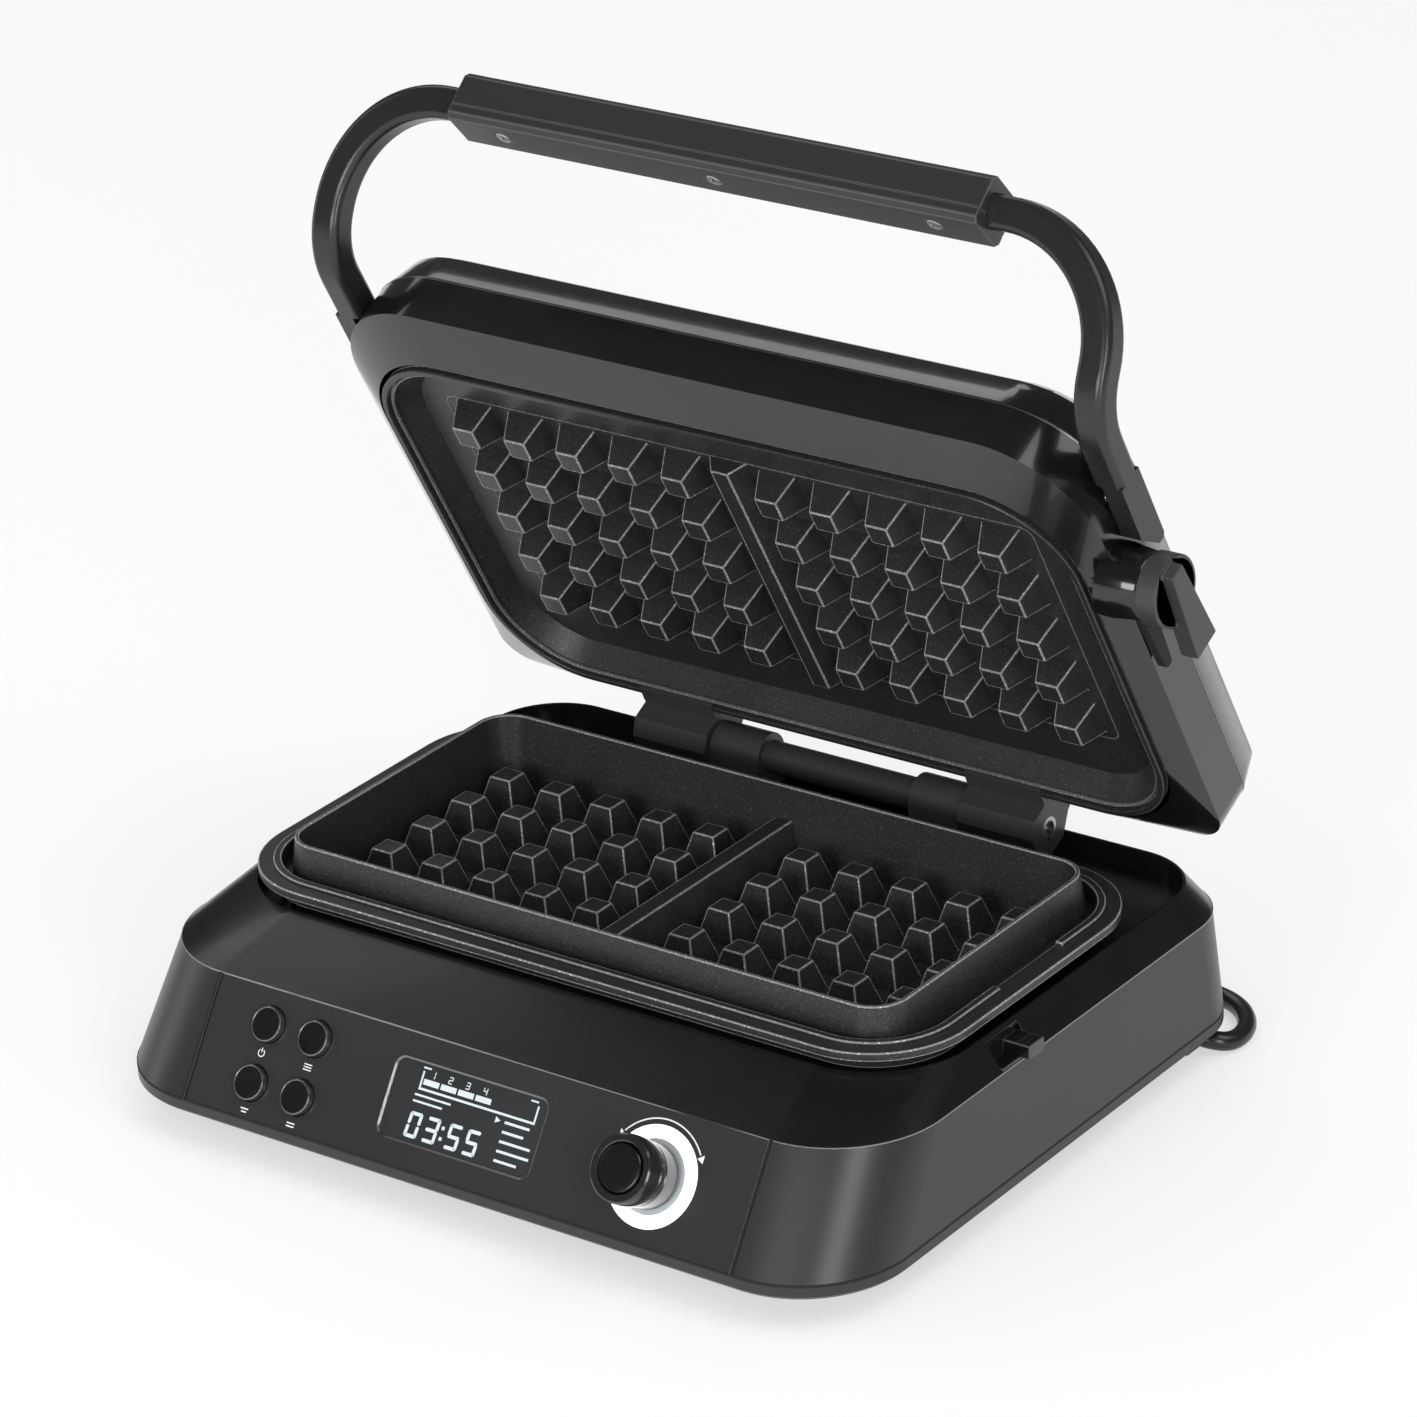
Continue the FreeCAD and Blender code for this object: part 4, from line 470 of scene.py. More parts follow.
# Solids with eased edges, then the plain and hidden ones in their finishes
eased("side_casing", 0.45, charcoal)
eased("bottom_tray", 0.5, band_charcoal)
eased("control_panel", 0.3, charcoal)
eased("top_deck", 0.9, deck_black, 3)
eased("lid_skirt", 0.9, shell_black, 3)
eased("lid_cover", 0.8, shell_black, 3, 50.0, 55.0)
# The catch's convex edges take the lighter plastic as a painted highlight.
eased("lid_catch", 0.5, shell_black, edge=grip_highlight_edge)
# The plates' convex edges take the lighter coating as a painted highlight.
eased("lower_plate", 0.5, coated, edge=coated_highlight_edge)
eased("upper_plate", 0.5, coated, edge=coated_highlight_edge)
eased("hinge_barrel", 0.6, hinge_black)
eased("hinge_knuckle_left", 0.8, hinge_black)
eased("hinge_knuckle_right", 0.8, hinge_black)
eased("handle_bar", 0.4, bar_black, 2, 60.0, 50.0)
# The grips' convex edges take the lighter plastic as a painted highlight.
eased("grip_outer", 0.5, grip_black, edge=grip_highlight_edge, clamp=False)
eased("grip_inner", 0.5, grip_black, edge=grip_highlight_edge, clamp=False)
eased("handle_bracket_left", 1.2, bar_black, 3)
eased("handle_bracket_right", 1.2, bar_black, 3)
eased("lock_lever", 0.6, hole_black)
eased("lock_knob", 0.7, lock_black, 3, clamp=False)
eased("cord_guide", 0.4, charcoal)
eased("front_feet", 0.8, foot_rubber)
eased("rear_feet", 0.8, foot_rubber)
eased("strain_relief", 0.3, flex_black)
eased("plug_body", 0.5, plug_black)
eased("plug_pins", 0.5, turned_brass)
eased("cord_tie", 0.15, foot_rubber)
for node, material in {
    "hinge_pin": pin_steel,
    "knuckle_bushes": screw_steel,
    "lock_pivot": pin_steel,
    "bracket_screws": pin_steel,
    "lower_heating_element": element_steel,
    "upper_heating_element": element_steel,
    "lower_heat_shield": sheet_steel,
    "upper_heat_shield": sheet_steel,
    "lower_thermostat": fired_white,
    "upper_thermostat": fired_white,
    "thermal_fuse": fired_white,
    "control_board": board_green,
    "power_board": board_green,
    "button_switches": part_dark,
    "dial_encoder": part_dark,
    "power_relays": part_dark,
    "terminal_block": fired_white,
    "display_module": part_dark,
    "display_window": display_dark,
}.items():
    painted(node, material)


# Trim lines round the base, the lid and the panel
TRIM_STEPS = 14


def trim_ring(name, outline, section, material, body, place=Matrix(), smooth_angle=35.0):
    """A thin band round an outline, through the (inset, height) points of its section."""
    half, front, rear, front_radius, rear_radius = outline
    loops = []
    for inset, height in section:
        points = rounded_outline(
            half - inset,
            front + inset,
            rear - inset,
            front_radius - inset,
            rear_radius - inset,
            TRIM_STEPS,
        )
        loops.append([place @ (Vector((x, y, height)) * MM) for x, y in points])
    bm = bmesh.new()
    ring_wall(bm, loops)
    return piece_from(name, bm, material, body, smooth_angle)


def make_base_trims():
    """The bright line under the deck, a metal strip that paints the seam's highlight, and the dark
    joint above the bottom band.
    """
    casing_top = (157.5, -102.5, 127, 40, 28)
    strip = [(0.1, 54.5), (-0.25, 54.55), (-0.25, 55.0), (0.1, 55.05)]
    trim_ring("seam_strip", casing_top, strip, seam_highlight_metal, "base")
    casing_foot = (160.5, -128.5, 128.5, 40, 28)
    groove = [(0.3, 16.0), (-0.06, 16.0), (-0.06, 16.9), (0.3, 16.9)]
    trim_ring("bottom_groove", casing_foot, groove, hole_black, "base")


def make_lid_trims():
    """The seam of the lid's shells, the upper plate's rim and bead, and the line round its pegs;
    the seam, bead and line paint highlights.
    """
    casting = slot_of_node("upper_plate")
    shell = (158, -204, -5, 40, 13)
    plate = (147.5, -183.1, -13.1, 36, 36)
    field = (125, -157.8, -44.8, 5, 5)
    seam = [(0.4, 28.35), (-0.12, 28.4), (-0.12, 28.85), (0.4, 28.9)]
    rim = [(0.1, 6.2), (0.1, 4.0), (0.5, 3.6), (2.2, 3.6), (2.6, 4.0), (2.6, 6.2)]
    bead = [(3.4, 6.2), (3.4, 5.3), (3.7, 5.0), (4.0, 5.0), (4.3, 5.3), (4.3, 6.2)]
    border = [(0, 14.5), (0, 14.15), (0.5, 14.15), (0.5, 14.5)]
    # The seam line, the bead and the peg line are lighter strips that paint highlights; the rim
    # keeps the plate's own coating.
    for name, outline, section, material, slot in (
        ("lid_seam_line", shell, seam, seam_highlight_metal, "steel"),
        ("upper_plate_rim", plate, rim, coated, casting),
        ("upper_plate_bead", plate, bead, coated_highlight_line, casting),
        ("peg_field_line", field, border, coated_highlight_line, casting),
    ):
        trim_ring(name, outline, section, material, "lid", lid_place, 30.0)


# The lock's middle on the lid, and the collar's (radius, side) points
LOCK_REACH = 144.5
LOCK_RISE = 12
COLLAR_SECTION = [
    (13.4, 155),
    (13.4, 160.5),
    (12.7, 165),
    (12.2, 170),
    (11.8, 170.6),
    (10.4, 170.6),
    (10.4, 155),
]
COLLAR_FIRST = 20.0
COLLAR_LAST = 290.0
COLLAR_STEPS = 54


def make_lock_collar():
    """The swelling of the lid's wall behind the lock knob, open where the lever swings."""
    bm = bmesh.new()
    loops = []
    for step in range(COLLAR_STEPS + 1):
        angle = math.radians(COLLAR_FIRST + (COLLAR_LAST - COLLAR_FIRST) * step / COLLAR_STEPS)
        along, across = math.cos(angle), math.sin(angle)
        loop = []
        for radius, side in COLLAR_SECTION:
            point = lid_point(side, LOCK_REACH - along * radius, LOCK_RISE + across * radius)
            loop.append(bm.verts.new(point))
        loops.append(loop)
    count = len(COLLAR_SECTION)
    for near, far in zip(loops, loops[1:]):
        for corner in range(count):
            after = (corner + 1) % count
            bm.faces.new([near[corner], far[corner], far[after], near[after]])
    bm.faces.new(list(reversed(loops[0])))
    bm.faces.new(loops[-1])
    piece_from("lock_collar", bm, shell_black, "lid", 30.0)


PANEL_HALF_HEIGHT = 22.9
STRIP_FOOT = -0.3


def panel_strips(name, starts, width, top, material):
    """Thin upright strips where the panel meets the casing, each from its left side."""
    bm = bmesh.new()
    for x in starts:
        strip = box_outline(x, -PANEL_HALF_HEIGHT, width, 2 * PANEL_HALF_HEIGHT)
        plate_between(bm, strip, STRIP_FOOT, top, panel_place)
    piece_from(name, bm, material, "base")


make_base_trims()
make_lid_trims()
make_lock_collar()
# The panel_edges strips paint the highlight along the panel's sides.
panel_strips("panel_edges", (-117.45, 117.05), 0.4, 0.4, seam_highlight_metal)
panel_strips("panel_gaps", (-118.3, 117.45), 0.85, 0.38, hole_black)


# Buttons, dial and start cap, turned from (radius, height) points above the panel
BUTTON_LEFT, BUTTON_RIGHT = -91, -70.3
BUTTON_ROW = 10.5
BUTTONS = {
    "button_upper_left": (BUTTON_LEFT, BUTTON_ROW),
    "button_upper_right": (BUTTON_RIGHT, BUTTON_ROW),
    "button_lower_left": (BUTTON_LEFT, -BUTTON_ROW),
    "button_lower_right": (BUTTON_RIGHT, -BUTTON_ROW),
}
BUTTON_FACE = [(0, 2.25), (4.6, 2.35), (5.55, 2.5), (5.55, 1.5), (0, 1.5)]
BUTTON_COLLAR = [
    (5.6, 1.4), (5.6, 2.45), (5.85, 2.6), (6.2, 2.35), (6.4, 1.9),
    (6.4, -2.1), (7.6, -2.2), (7.6, -3.4), (5.6, -3.4), (5.6, 1.4),
]
DIAL_KNOB = [
    (0, -10.6), (3, -10.6), (3, 1.5), (11.0, 1.5), (11.4, 2.0), (11.4, 9.0), (11.0, 9.3),
    (11.0, 10.1), (11.7, 10.4), (11.7, 12.6), (11.3, 12.9), (11.3, 13.6), (12.0, 14.0),
    (12.0, 19.3), (11.7, 20.1), (11.2, 20.5), (9.4, 20.5), (8.9, 20.2), (8.6, 19.6),
    (8.6, 15.0), (0, 15.0),
]
START_CAP = [
    (0, 16.5), (8.2, 16.5), (8.2, 20.4), (7.9, 20.8), (7.4, 20.95), (5.0, 20.75), (0, 20.65),
]
DIAL_HALO = [
    (13.0, -1.6), (13.0, 0.45), (13.4, 0.6), (17.2, 0.6), (17.55, 0.2), (17.55, -1.6),
    (13.0, -1.6),
]
# The pale cone inside the ring is painted light, the ring's glow falling on the knob's foot.
LIGHT_SPILL_CONE = [
    (6.1, -3.8), (6.1, -1.2), (12.9, 0.3), (12.9, -1.6), (19.5, -1.9), (19.5, -3.8),
    (6.1, -3.8),
]


def panel_at(x, y):
    """A place on the panel's face, from its middle."""
    return panel_place @ Matrix.Translation((x * MM, y * MM, 0))


for node, (x, y) in BUTTONS.items():
    place, cap = panel_at(x, y), f"{node}_cap"
    turned(f"{node}_face", BUTTON_FACE, place, button_black, cap)
    # The collar's metal paints the bright rim highlight round each button.
    collar = turned(
        f"{node}_collar", BUTTON_COLLAR, place, bevel_highlight_metal, cap, smooth_angle=30.0
    )
    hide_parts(node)

DIAL = panel_at(77.5, 0)
DIAL_STEPS = 96
CAP_STEPS = 72
knob = turned("dial_turned", DIAL_KNOB, DIAL, knob_black, "dial", DIAL_STEPS, 28.0)
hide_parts("dial_knob")
start = turned("start_cap", START_CAP, DIAL, button_black, "start", CAP_STEPS, 28.0)
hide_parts("start_button")
halo = turned("dial_halo", DIAL_HALO, DIAL, ring_glow, "base", DIAL_STEPS, 40.0)
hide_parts("light_ring")
# The pale cone paints the ring's light spill; it is no lamp.
turned("dial_pale_cone", LIGHT_SPILL_CONE, DIAL, ring_spill_paint, "base", DIAL_STEPS, 40.0)


# Printed marks on the panel
PRINT_LOW, PRINT_HIGH = 0.01, 0.06
ARC_RADIUS = 19.6


def arc_outline(radius, width, start, end, steps=28):
    """A curved stroke between two angles, as an outline."""
    angles = [math.radians(start + (end - start) * step / steps) for step in range(steps + 1)]
    far, near = radius + width / 2, radius - width / 2
    outer = [(far * math.cos(angle), far * math.sin(angle)) for angle in angles]
    inner = [(near * math.cos(angle), near * math.sin(angle)) for angle in angles]
    return outer + inner[::-1]


def arrow_outline(tip, way):
    """The small arrow at one end of the dial's arc."""
    points = []
    for radius, swing in ((ARC_RADIUS - 1.5, 0), (ARC_RADIUS + 1.5, 0), (ARC_RADIUS, 7 * way)):
        angle = math.radians(tip) + math.radians(swing)
        points.append((radius * math.cos(angle), radius * math.sin(angle)))
    return points


def make_panel_prints():
    """The dial's arc with its arrows, and a small symbol below each button."""
    power, menu = panel_at(BUTTON_LEFT, 0.4), panel_at(BUTTON_RIGHT, 0.4)
    prints = [(arc_outline(ARC_RADIUS, 0.5, 142, 36), DIAL)]
    prints += [(arrow_outline(tip, way), DIAL) for tip, way in ((34, -1), (144, 1))]
    prints.append((arc_outline(1.3, 0.35, 125, 415), power))
    prints.append((box_outline(-0.18, 0.2, 0.36, 1.6), power))
    prints += [(box_outline(-1.7, step * 0.95 - 0.2, 3.4, 0.4), menu) for step in (-1, 0, 1)]
    for x, widths in ((BUTTON_LEFT, (3.4, 2.2)), (BUTTON_RIGHT, (3.4, 3.4))):
        for row, width in enumerate(widths):
            bar = box_outline(-width / 2, 0.5 - row * 1.1, width, 0.45)
            prints.append((bar, panel_at(x, -20.4)))
    bm = bmesh.new()
    for outline, place in prints:
        plate_between(bm, outline, PRINT_LOW, PRINT_HIGH, place)
    piece_from("panel_marks", bm, print_white, "base")


make_panel_prints()


# Display: frame, bezel, level bars, clock digits and list marks
DISPLAY = panel_at(-2.5, 0)
MARK_LOW, MARK_HIGH = -0.79, -0.74
DIGIT_LEAN = 0.07
BAR_PITCH = 7.45
SEGMENTS = {0: "abcdef", 1: "bc", 2: "abged", 3: "abgcd", 4: "fgbc", 5: "afgcd"}


def digit_outlines(number, x, y, width, height, stroke):
    """The bars of a seven-bar digit that leans a little to the right."""
    half = height / 2
    gap = stroke * 0.16
    bars = {
        "a": (stroke * 0.2, height - stroke, width - stroke * 0.4, stroke),
        "g": (stroke * 0.2, half - stroke / 2, width - stroke * 0.4, stroke),
        "d": (stroke * 0.2, 0, width - stroke * 0.4, stroke),
        "f": (0, half + gap, stroke, half - gap * 2),
        "b": (width - stroke, half + gap, stroke, half - gap * 2),
        "e": (0, gap, stroke, half - gap * 2),
        "c": (width - stroke, gap, stroke, half - gap * 2),
    }
    outlines = []
    for name in SEGMENTS[number]:
        left, low, wide, tall = bars[name]
        right, top = left + wide, low + tall
        bevel = min(wide, tall) * 0.32
        corners = [
            (left + bevel, low), (right - bevel, low), (right, low + bevel), (right, top - bevel),
            (right - bevel, top), (left + bevel, top), (left, top - bevel), (left, low + bevel),
        ]
        outlines.append([(x + px + py * DIGIT_LEAN, y + py) for px, py in corners])
    return outlines


def make_display_rings():
    """The square frame round the window and the bevel inside it, bright in metal as a painted
    highlight.
    """
    steps = 8
    inner = rounded_outline(32.2, -13.7, 13.7, 3.4, 3.4, steps)
    corner = rounded_outline(32.9, -14.4, 14.4, 4.1, 4.1, steps)
    border = rounded_outline(33.3, -14.8, 14.8, 0.05, 0.05, steps)
    frame_section = ((border, -0.1), (border, 0.04), (corner, 0.04), (corner, -0.1))
    bezel_section = ((corner, 0.04), (inner, -0.5), (inner, MARK_LOW), (corner, MARK_LOW))
    for name, section, material in (
        ("display_frame", frame_section, charcoal),
        ("display_bezel", bezel_section, bevel_highlight_metal),
    ):
        loops = [[DISPLAY @ (Vector((x, y, z)) * MM) for x, y in line] for line, z in section]
        bm = bmesh.new()
        ring_wall(bm, loops)
        piece_from(name, bm, material, "base", 50.0)


def make_display_marks():
    """The level scale, the clock and the list, as lit shapes."""
    marks = [
        box_outline(-21.2, 4.6, 0.7, 6.5),
        box_outline(-20.5, 4.6, 48.5, 0.8),
        box_outline(27.9, 4.6, 0.7, 6.5),
    ]
    for step in range(4):
        marks.append(box_outline(-19.9 + step * BAR_PITCH, 6.6, 6.6, 2.0))
        marks += digit_outlines(step + 1, -17.6 + step * BAR_PITCH, 9.3, 1.7, 2.5, 0.34)
    marks += [box_outline(x, 12.0, 3.2, 0.6) for x in (-21.4, 24.6)]
    for row, width in enumerate((15.5, 12.5)):
        marks.append(box_outline(-22, 2.4 - row * 2.2, width, 0.7))
    for x, number in ((-21.9, 0), (-14.1, 3), (-4.6, 5), (3.2, 5)):
        marks += digit_outlines(number, x, -12, 5.4, 9, 1.25)
    marks += [box_outline(-7.2, y, 1.2, 1.2) for y in (-9.9, -6.2)]
    marks.append([(12.8, 1.5), (15.0, 2.6), (12.8, 3.7)])
    for row, width in enumerate((10.5, 9.0, 13.0, 13.5, 9.5)):
        marks.append(box_outline(16.8, 2.1 - row * 3.3, width, 0.9))
    bm = bmesh.new()
    for outline in marks:
        plate_between(bm, outline, MARK_LOW, MARK_HIGH, DISPLAY)
    piece_from("display_marks", bm, segment_pale, "base")


make_display_rings()
make_display_marks()


# Screw heads, set out by one node tree
def screw_tree():
    """Instances of a head on points, with their turn, made real and given a finish."""
    tree = bpy.data.node_groups.new("screw_heads", "GeometryNodeTree")
    interface = tree.interface
    for name, kind in (
        ("Points", "Geometry"),
        ("Head", "Object"),
        ("Turn", "Vector"),
        ("Size", "Float"),
        ("Finish", "Material"),
    ):
        interface.new_socket(name, in_out="INPUT", socket_type=f"NodeSocket{kind}")
    interface.new_socket("Heads", in_out="OUTPUT", socket_type="NodeSocketGeometry")
    nodes, links = tree.nodes, tree.links
    entry = nodes.new("NodeGroupInput")
    leave = nodes.new("NodeGroupOutput")
    info = nodes.new("GeometryNodeObjectInfo")
    scatter = nodes.new("GeometryNodeInstanceOnPoints")
    real = nodes.new("GeometryNodeRealizeInstances")
    paint = nodes.new("GeometryNodeSetMaterial")
    links.new(entry.outputs["Points"], scatter.inputs["Points"])
    links.new(entry.outputs["Head"], info.inputs["Object"])
    links.new(info.outputs["Geometry"], scatter.inputs["Instance"])
    links.new(entry.outputs["Turn"], scatter.inputs["Rotation"])
    links.new(entry.outputs["Size"], scatter.inputs["Scale"])
    links.new(scatter.outputs["Instances"], real.inputs["Geometry"])
    links.new(real.outputs["Geometry"], paint.inputs["Geometry"])
    links.new(entry.outputs["Finish"], paint.inputs["Material"])
    links.new(paint.outputs["Geometry"], leave.inputs["Heads"])
    return tree


def make_head():
    """A pan head of one unit radius with a cross recess."""
    bm = bmesh.new()
    arm, arm_reach, depth = 0.16, 0.62, 0.16
    crown, shoulder, foot_level = 0.88, -0.12, -0.45
    star = []
    for quarter in range(4):
        turn = Matrix.Rotation(quarter * math.pi / 2, 2)
        for x, y in ((arm_reach, -arm), (arm_reach, arm), (arm, arm)):
            star.append(turn @ Vector((x, y)))
    steps = 24
    top = [bm.verts.new((p.x, p.y, 0)) for p in star]
    low = [bm.verts.new((p.x * 0.8, p.y * 0.8, -depth)) for p in star]
    edge = []
    foot = []
    for step in range(steps):
        angle = 2 * math.pi * step / steps - math.atan2(arm, arm_reach)
        edge.append(bm.verts.new((crown * math.cos(angle), crown * math.sin(angle), 0)))
        foot.append(bm.verts.new((math.cos(angle), math.sin(angle), shoulder)))
    base = [bm.verts.new((vert.co.x, vert.co.y, foot_level)) for vert in foot]
    for index in range(len(star)):
        after = (index + 1) % len(star)
        bm.faces.new((top[index], top[after], low[after], low[index]))
    bm.faces.new(low)
    for index in range(steps):
        after = (index + 1) % steps
        bm.faces.new((edge[index], edge[after], foot[after], foot[index]))
        bm.faces.new((foot[index], foot[after], base[after], base[index]))
    bm.faces.new(list(reversed(base)))
    loops = [bm.edges.get((top[i], top[(i + 1) % len(top)])) for i in range(len(top))]
    loops += [bm.edges.get((edge[i], edge[(i + 1) % steps])) for i in range(steps)]
    bmesh.ops.triangle_fill(bm, use_beauty=True, use_dissolve=False, edges=loops)
    bmesh.ops.recalc_face_normals(bm, faces=bm.faces)
    mesh = bpy.data.meshes.new("screw_head")
    bm.to_mesh(mesh)
    bm.free()
    return bpy.data.objects.new("screw_head", mesh)


HEAD_RADIUS = 3.1
GRIP_REACH, GRIP_RISE = 249.4, 71.1
GRIP_TILT = math.radians(-14)
GRIP_DROP = 9.27
KNUCKLE_SIDE = 71.65
KNUCKLE_FACE_RISE = 3.2


def grip_places():
    """The screws in the underside of the grip, and the way that their heads face."""
    down = lid_place.to_3x3() @ Vector((0, -math.sin(GRIP_TILT), -math.cos(GRIP_TILT)))
    points = [lid_point(x, GRIP_REACH, GRIP_RISE) + down * GRIP_DROP * MM for x in (-90, 0, 90)]
    return points, down


def knuckle_places():
    """The screws of the hinge knuckles, at the reach of the solids that they stand for."""
    low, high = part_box("knuckle_screws")
    middle = (Vector(low) + Vector(high)) / 2
    reach = -(lid_place.inverted() @ Vector((0, middle.y, middle.z))).y / MM
    points = [lid_point(x, reach, KNUCKLE_FACE_RISE) for x in (-KNUCKLE_SIDE, KNUCKLE_SIDE)]
    return points, lid_place.to_3x3() @ Vector((0, 0, -1))


def make_screws():
    """The heads of the grip's and the knuckles' screws."""
    tree = screw_tree()
    head = make_head()
    sockets = [item for item in tree.interface.items_tree if item.in_out == "INPUT"]
    inputs = {item.name: item.identifier for item in sockets}
    groups = {"grip_screws": grip_places(), "knuckle_screws": knuckle_places()}
    for node, (points, facing) in groups.items():
        mesh = bpy.data.meshes.new(f"{node}_points")
        mesh.from_pydata([tuple(point) for point in points], [], [])
        obj = bpy.data.objects.new(f"{node}_heads", mesh)
        scene.collection.objects.link(obj)
        modifier = obj.modifiers.new("set_out", "NODES")
        modifier.node_group = tree
        modifier[inputs["Head"]] = head
        modifier[inputs["Turn"]] = tuple(facing.to_track_quat("Z", "Y").to_euler())
        modifier[inputs["Size"]] = HEAD_RADIUS * MM
        modifier[inputs["Finish"]] = screw_steel
        graph = bpy.context.evaluated_depsgraph_get()
        real = bpy.data.meshes.new_from_object(obj.evaluated_get(graph))
        obj.modifiers.clear()
        obj.data = real
        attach(obj, "lid")
        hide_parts(node)
    bpy.data.objects.remove(head)


make_screws()
painted("base_screws", screw_steel)


# Mains lead
CORD_RADIUS = 3.5
CORD_ROUTE = [
    (146, 108, 6.4), (154.5, 108.3, 5.4), (161, 114.5, 3.7), (159.5, 127, 3.7),
    (149.5, 138.5, 3.7), (135, 143, 3.7), (113, 142, 3.7), (78, 146.5, 3.7),
    (38, 143.5, 3.9), (8, 140.5, 4.6), (-18, 140.5, 4.6),
]
COIL_CENTRE = (-25, 182)
COIL_RADIUS = 41.5
COIL_PITCH = 7.7
COIL_LEVEL = 4.6
COIL_LIFT = 7.5
COIL_WIDEN = 1.01
CLIMB_START, CLIMB_END = 1.5, 2.0
COIL_TURNS = 3
POINTS_A_TURN = 16
PLUG_LEVEL = COIL_LEVEL + COIL_LIFT


def coil_point(turns):
    """A control point of the put-away coil: inward, up a layer, then outward again."""
    share = max(0.0, min(1.0, (turns - CLIMB_START) / (CLIMB_END - CLIMB_START)))
    inward = COIL_PITCH * min(turns, CLIMB_START)
    outward = COIL_PITCH * max(turns - CLIMB_END, 0.0)
    radius = COIL_RADIUS - inward + outward - 1.2 * math.sin(math.pi * share)
    z = COIL_LEVEL + COIL_LIFT * share * share * (3 - 2 * share)
    angle = -math.pi / 2 - 2 * math.pi * turns
    wide = radius * COIL_WIDEN
    return (COIL_CENTRE[0] + wide * math.cos(angle), COIL_CENTRE[1] + wide * math.sin(angle), z)


def make_cord():
    """The lead from the guide, through the coil, to the plug."""
    points = list(CORD_ROUTE)
    last = COIL_TURNS * POINTS_A_TURN
    points += [coil_point(step / POINTS_A_TURN) for step in range(last + 1)]
    end_y = points[-1][1]
    points += [(-34, end_y, PLUG_LEVEL), (-60, end_y, PLUG_LEVEL)]
    curve = bpy.data.curves.new("mains_lead", "CURVE")
    curve.dimensions = "3D"
    curve.bevel_depth = CORD_RADIUS * MM
    curve.bevel_resolution = 6
    curve.resolution_u = 8
    spline = curve.splines.new("NURBS")
    spline.points.add(len(points) - 1)
    for control, point in zip(spline.points, points):
        control.co = (point[0] * MM, point[1] * MM, point[2] * MM, 1)
    spline.order_u = 3
    spline.use_endpoint_u = True
    spline.resolution_u = 8
    obj = bpy.data.objects.new("mains_lead", curve)
    scene.collection.objects.link(obj)
    finish_piece(obj, flex_black, "base")
    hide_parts("power_cord", "cord_coil")


make_cord()


# Floor, light and camera
FLOOR_HALF = 12.0
ROOM_LEVEL = 0.72
ROOM_REFLECTION = 0.1
PAPER_LIFT = 0.55
# Each lamp's place, target, width and height in metres, and its power in watts
LAMPS = {
    "ceiling_back_left": ((-1.79, 1.47, 2.2), (0, 0, 0.12), 2.2, 0.8, 9),
    "ceiling_right": ((1.3, 0.2, 2.0), (0, 0, 0.05), 1.4, 1.4, 14),
    "front_right_soft": ((2.1, -1.7, 0.9), (0, 0, 0.08), 0.7, 1.3, 24),
    "front_soft": ((0.2, -2.6, 0.8), (0, 0, 0.12), 1.4, 0.8, 30),
    "left_strip": ((-1.9, -0.6, 0.7), (0, 0, 0.08), 0.5, 1.2, 4),
}
CAMERA_PLACE = (1.1747, -1.5104, 1.0219)
CAMERA_RIGHT = Vector((0.80786, 0.58732, -0.04916))
CAMERA_DOWN = Vector((0.21011, -0.36492, -0.90702))
CAMERA_AHEAD = Vector((-0.55065, 0.72242, -0.41821))
CAMERA_LENS = 155.47
CAMERA_SENSOR = 36.0


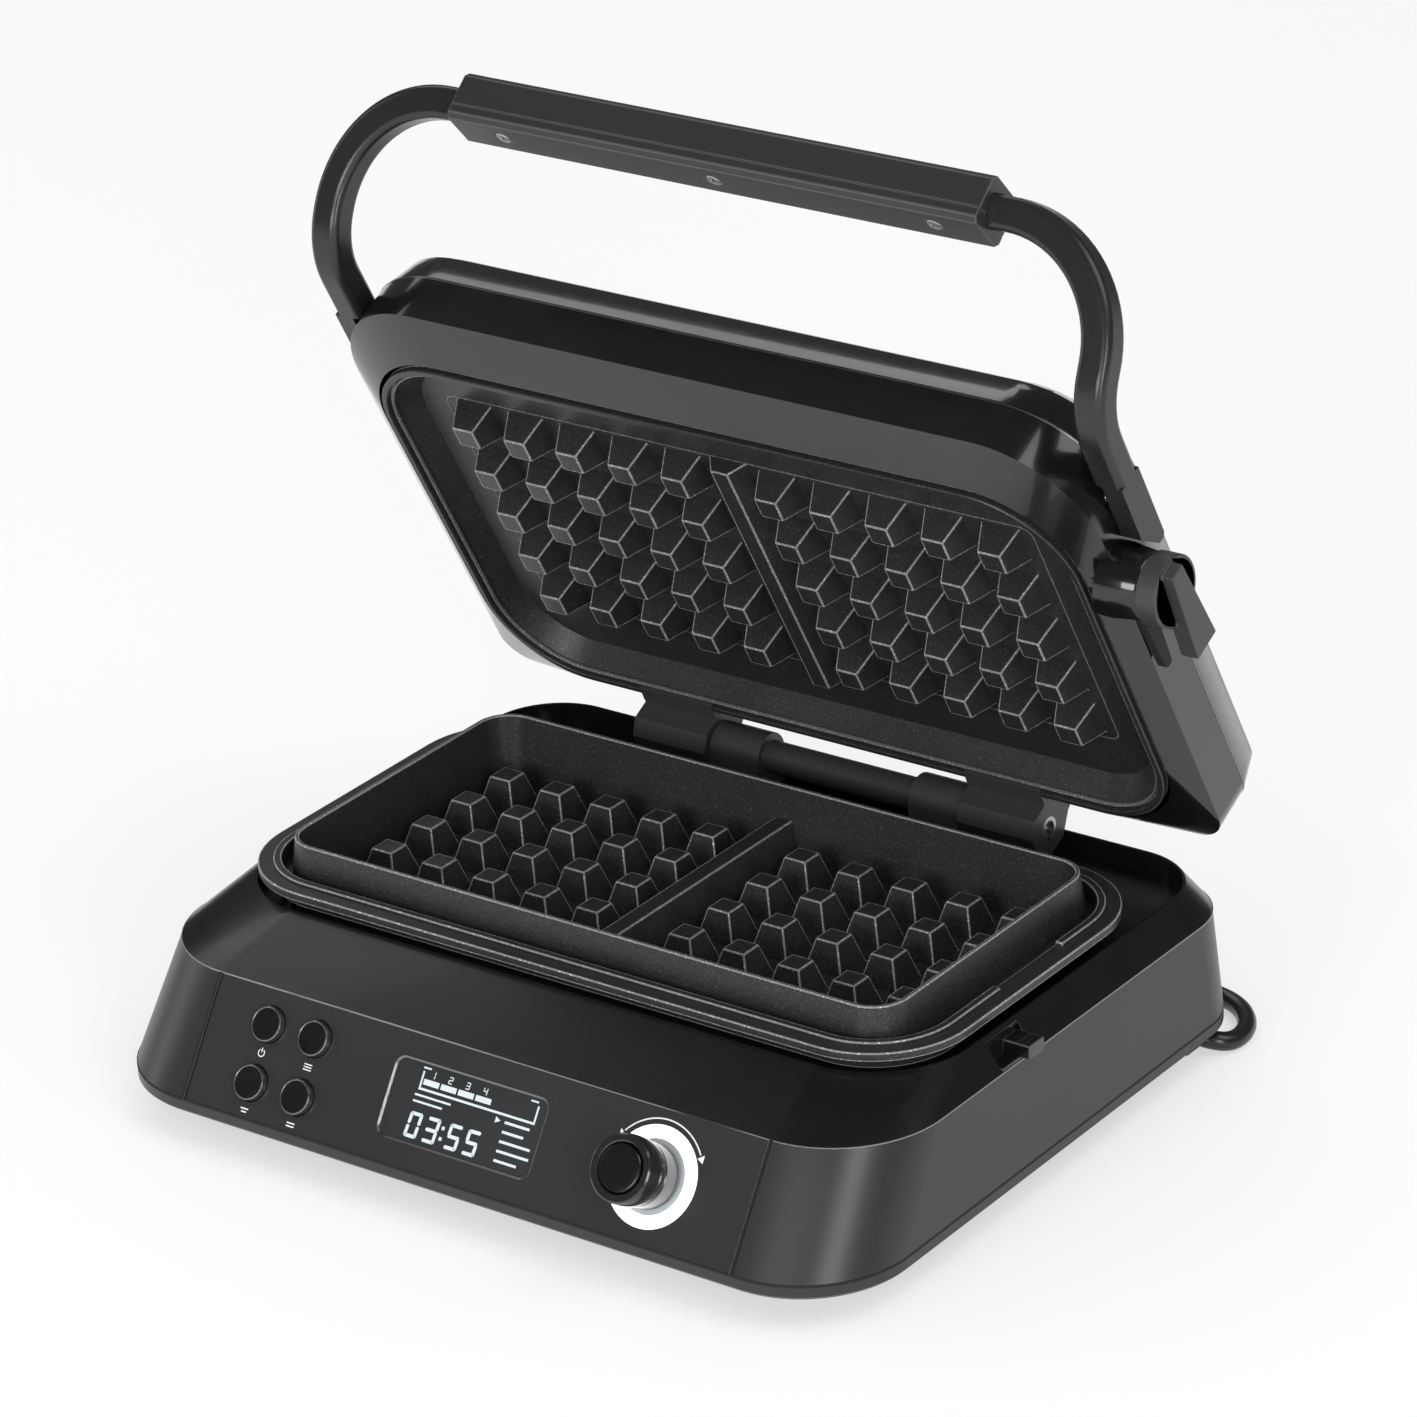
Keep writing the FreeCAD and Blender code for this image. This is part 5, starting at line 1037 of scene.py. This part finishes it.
def make_floor():
    """A pale floor that glows a little where it is seen directly or mirrored."""
    bm = bmesh.new()
    bmesh.ops.create_grid(bm, x_segments=1, y_segments=1, size=FLOOR_HALF)
    mesh = bpy.data.meshes.new("studio_floor")
    bm.to_mesh(mesh)
    bm.free()
    floor = bpy.data.objects.new("studio_floor", mesh)
    scene.collection.objects.link(floor)
    finish = Finish("studio_floor_white", Roughness=0.9)
    soft = finish.noise(0.8, 1.0)
    finish.set("Base Color", finish.mix(soft, grey(0.86), grey(0.9)))
    tree = finish.tree
    paper = tree.nodes.new("ShaderNodeEmission")
    paper.inputs["Color"].default_value = (1, 1, 1, 1)
    camera = finish.node("ShaderNodeLightPath", output="Is Camera Ray")
    mirrored = finish.node("ShaderNodeLightPath", output="Is Glossy Ray")
    through = finish.node("ShaderNodeLightPath", output="Is Transmission Ray")
    seen = (camera + mirrored + through) * PAPER_LIFT
    blend = finish.node("ShaderNodeMixShader", None, {0: seen})
    tree.links.new(finish.shader.outputs[0], blend.socket.node.inputs[1])
    tree.links.new(paper.outputs[0], blend.socket.node.inputs[2])
    tree.links.new(blend.socket, tree.nodes["Material Output"].inputs["Surface"])
    floor.data.materials.append(finish.material)


def make_world():
    """White to the camera, a plain grey room to the parts, and darker in their reflections."""
    world = bpy.data.worlds.new("studio_world")
    world.use_nodes = True
    scene.world = world
    nodes, links = world.node_tree.nodes, world.node_tree.links
    backdrop = nodes["Background"]
    backdrop.inputs["Color"].default_value = (1, 1, 1, 1)
    path = nodes.new("ShaderNodeLightPath")
    gloss = nodes.new("ShaderNodeMapRange")
    gloss.inputs["To Min"].default_value = ROOM_LEVEL
    gloss.inputs["To Max"].default_value = ROOM_REFLECTION
    level = nodes.new("ShaderNodeMapRange")
    level.inputs["To Max"].default_value = 1.0
    links.new(path.outputs["Is Glossy Ray"], gloss.inputs["Value"])
    links.new(gloss.outputs["Result"], level.inputs["To Min"])
    links.new(path.outputs["Is Camera Ray"], level.inputs["Value"])
    links.new(level.outputs["Result"], backdrop.inputs["Strength"])


def add_lamp(name, place, target, width, height, power):
    """A rectangular lamp that faces its target."""
    lamp = bpy.data.lights.new(name, "AREA")
    lamp.shape = "RECTANGLE"
    lamp.size = width
    lamp.size_y = height
    lamp.energy = power
    obj = bpy.data.objects.new(name, lamp)
    scene.collection.objects.link(obj)
    obj.location = place
    obj.rotation_euler = (Vector(target) - Vector(place)).to_track_quat("-Z", "Y").to_euler()


def make_camera():
    """The photograph's viewing angle."""
    camera = bpy.data.cameras.new("photo_camera")
    camera.sensor_fit = "HORIZONTAL"
    camera.sensor_width = CAMERA_SENSOR
    camera.lens = CAMERA_LENS
    camera.clip_end = 50
    obj = bpy.data.objects.new("photo_camera", camera)
    scene.collection.objects.link(obj)
    turn = Matrix((CAMERA_RIGHT, -CAMERA_DOWN, -CAMERA_AHEAD)).transposed().to_4x4()
    obj.matrix_world = Matrix.Translation(CAMERA_PLACE) @ turn
    scene.camera = obj


make_floor()
make_world()
for name, settings in LAMPS.items():
    add_lamp(name, *settings)
make_camera()
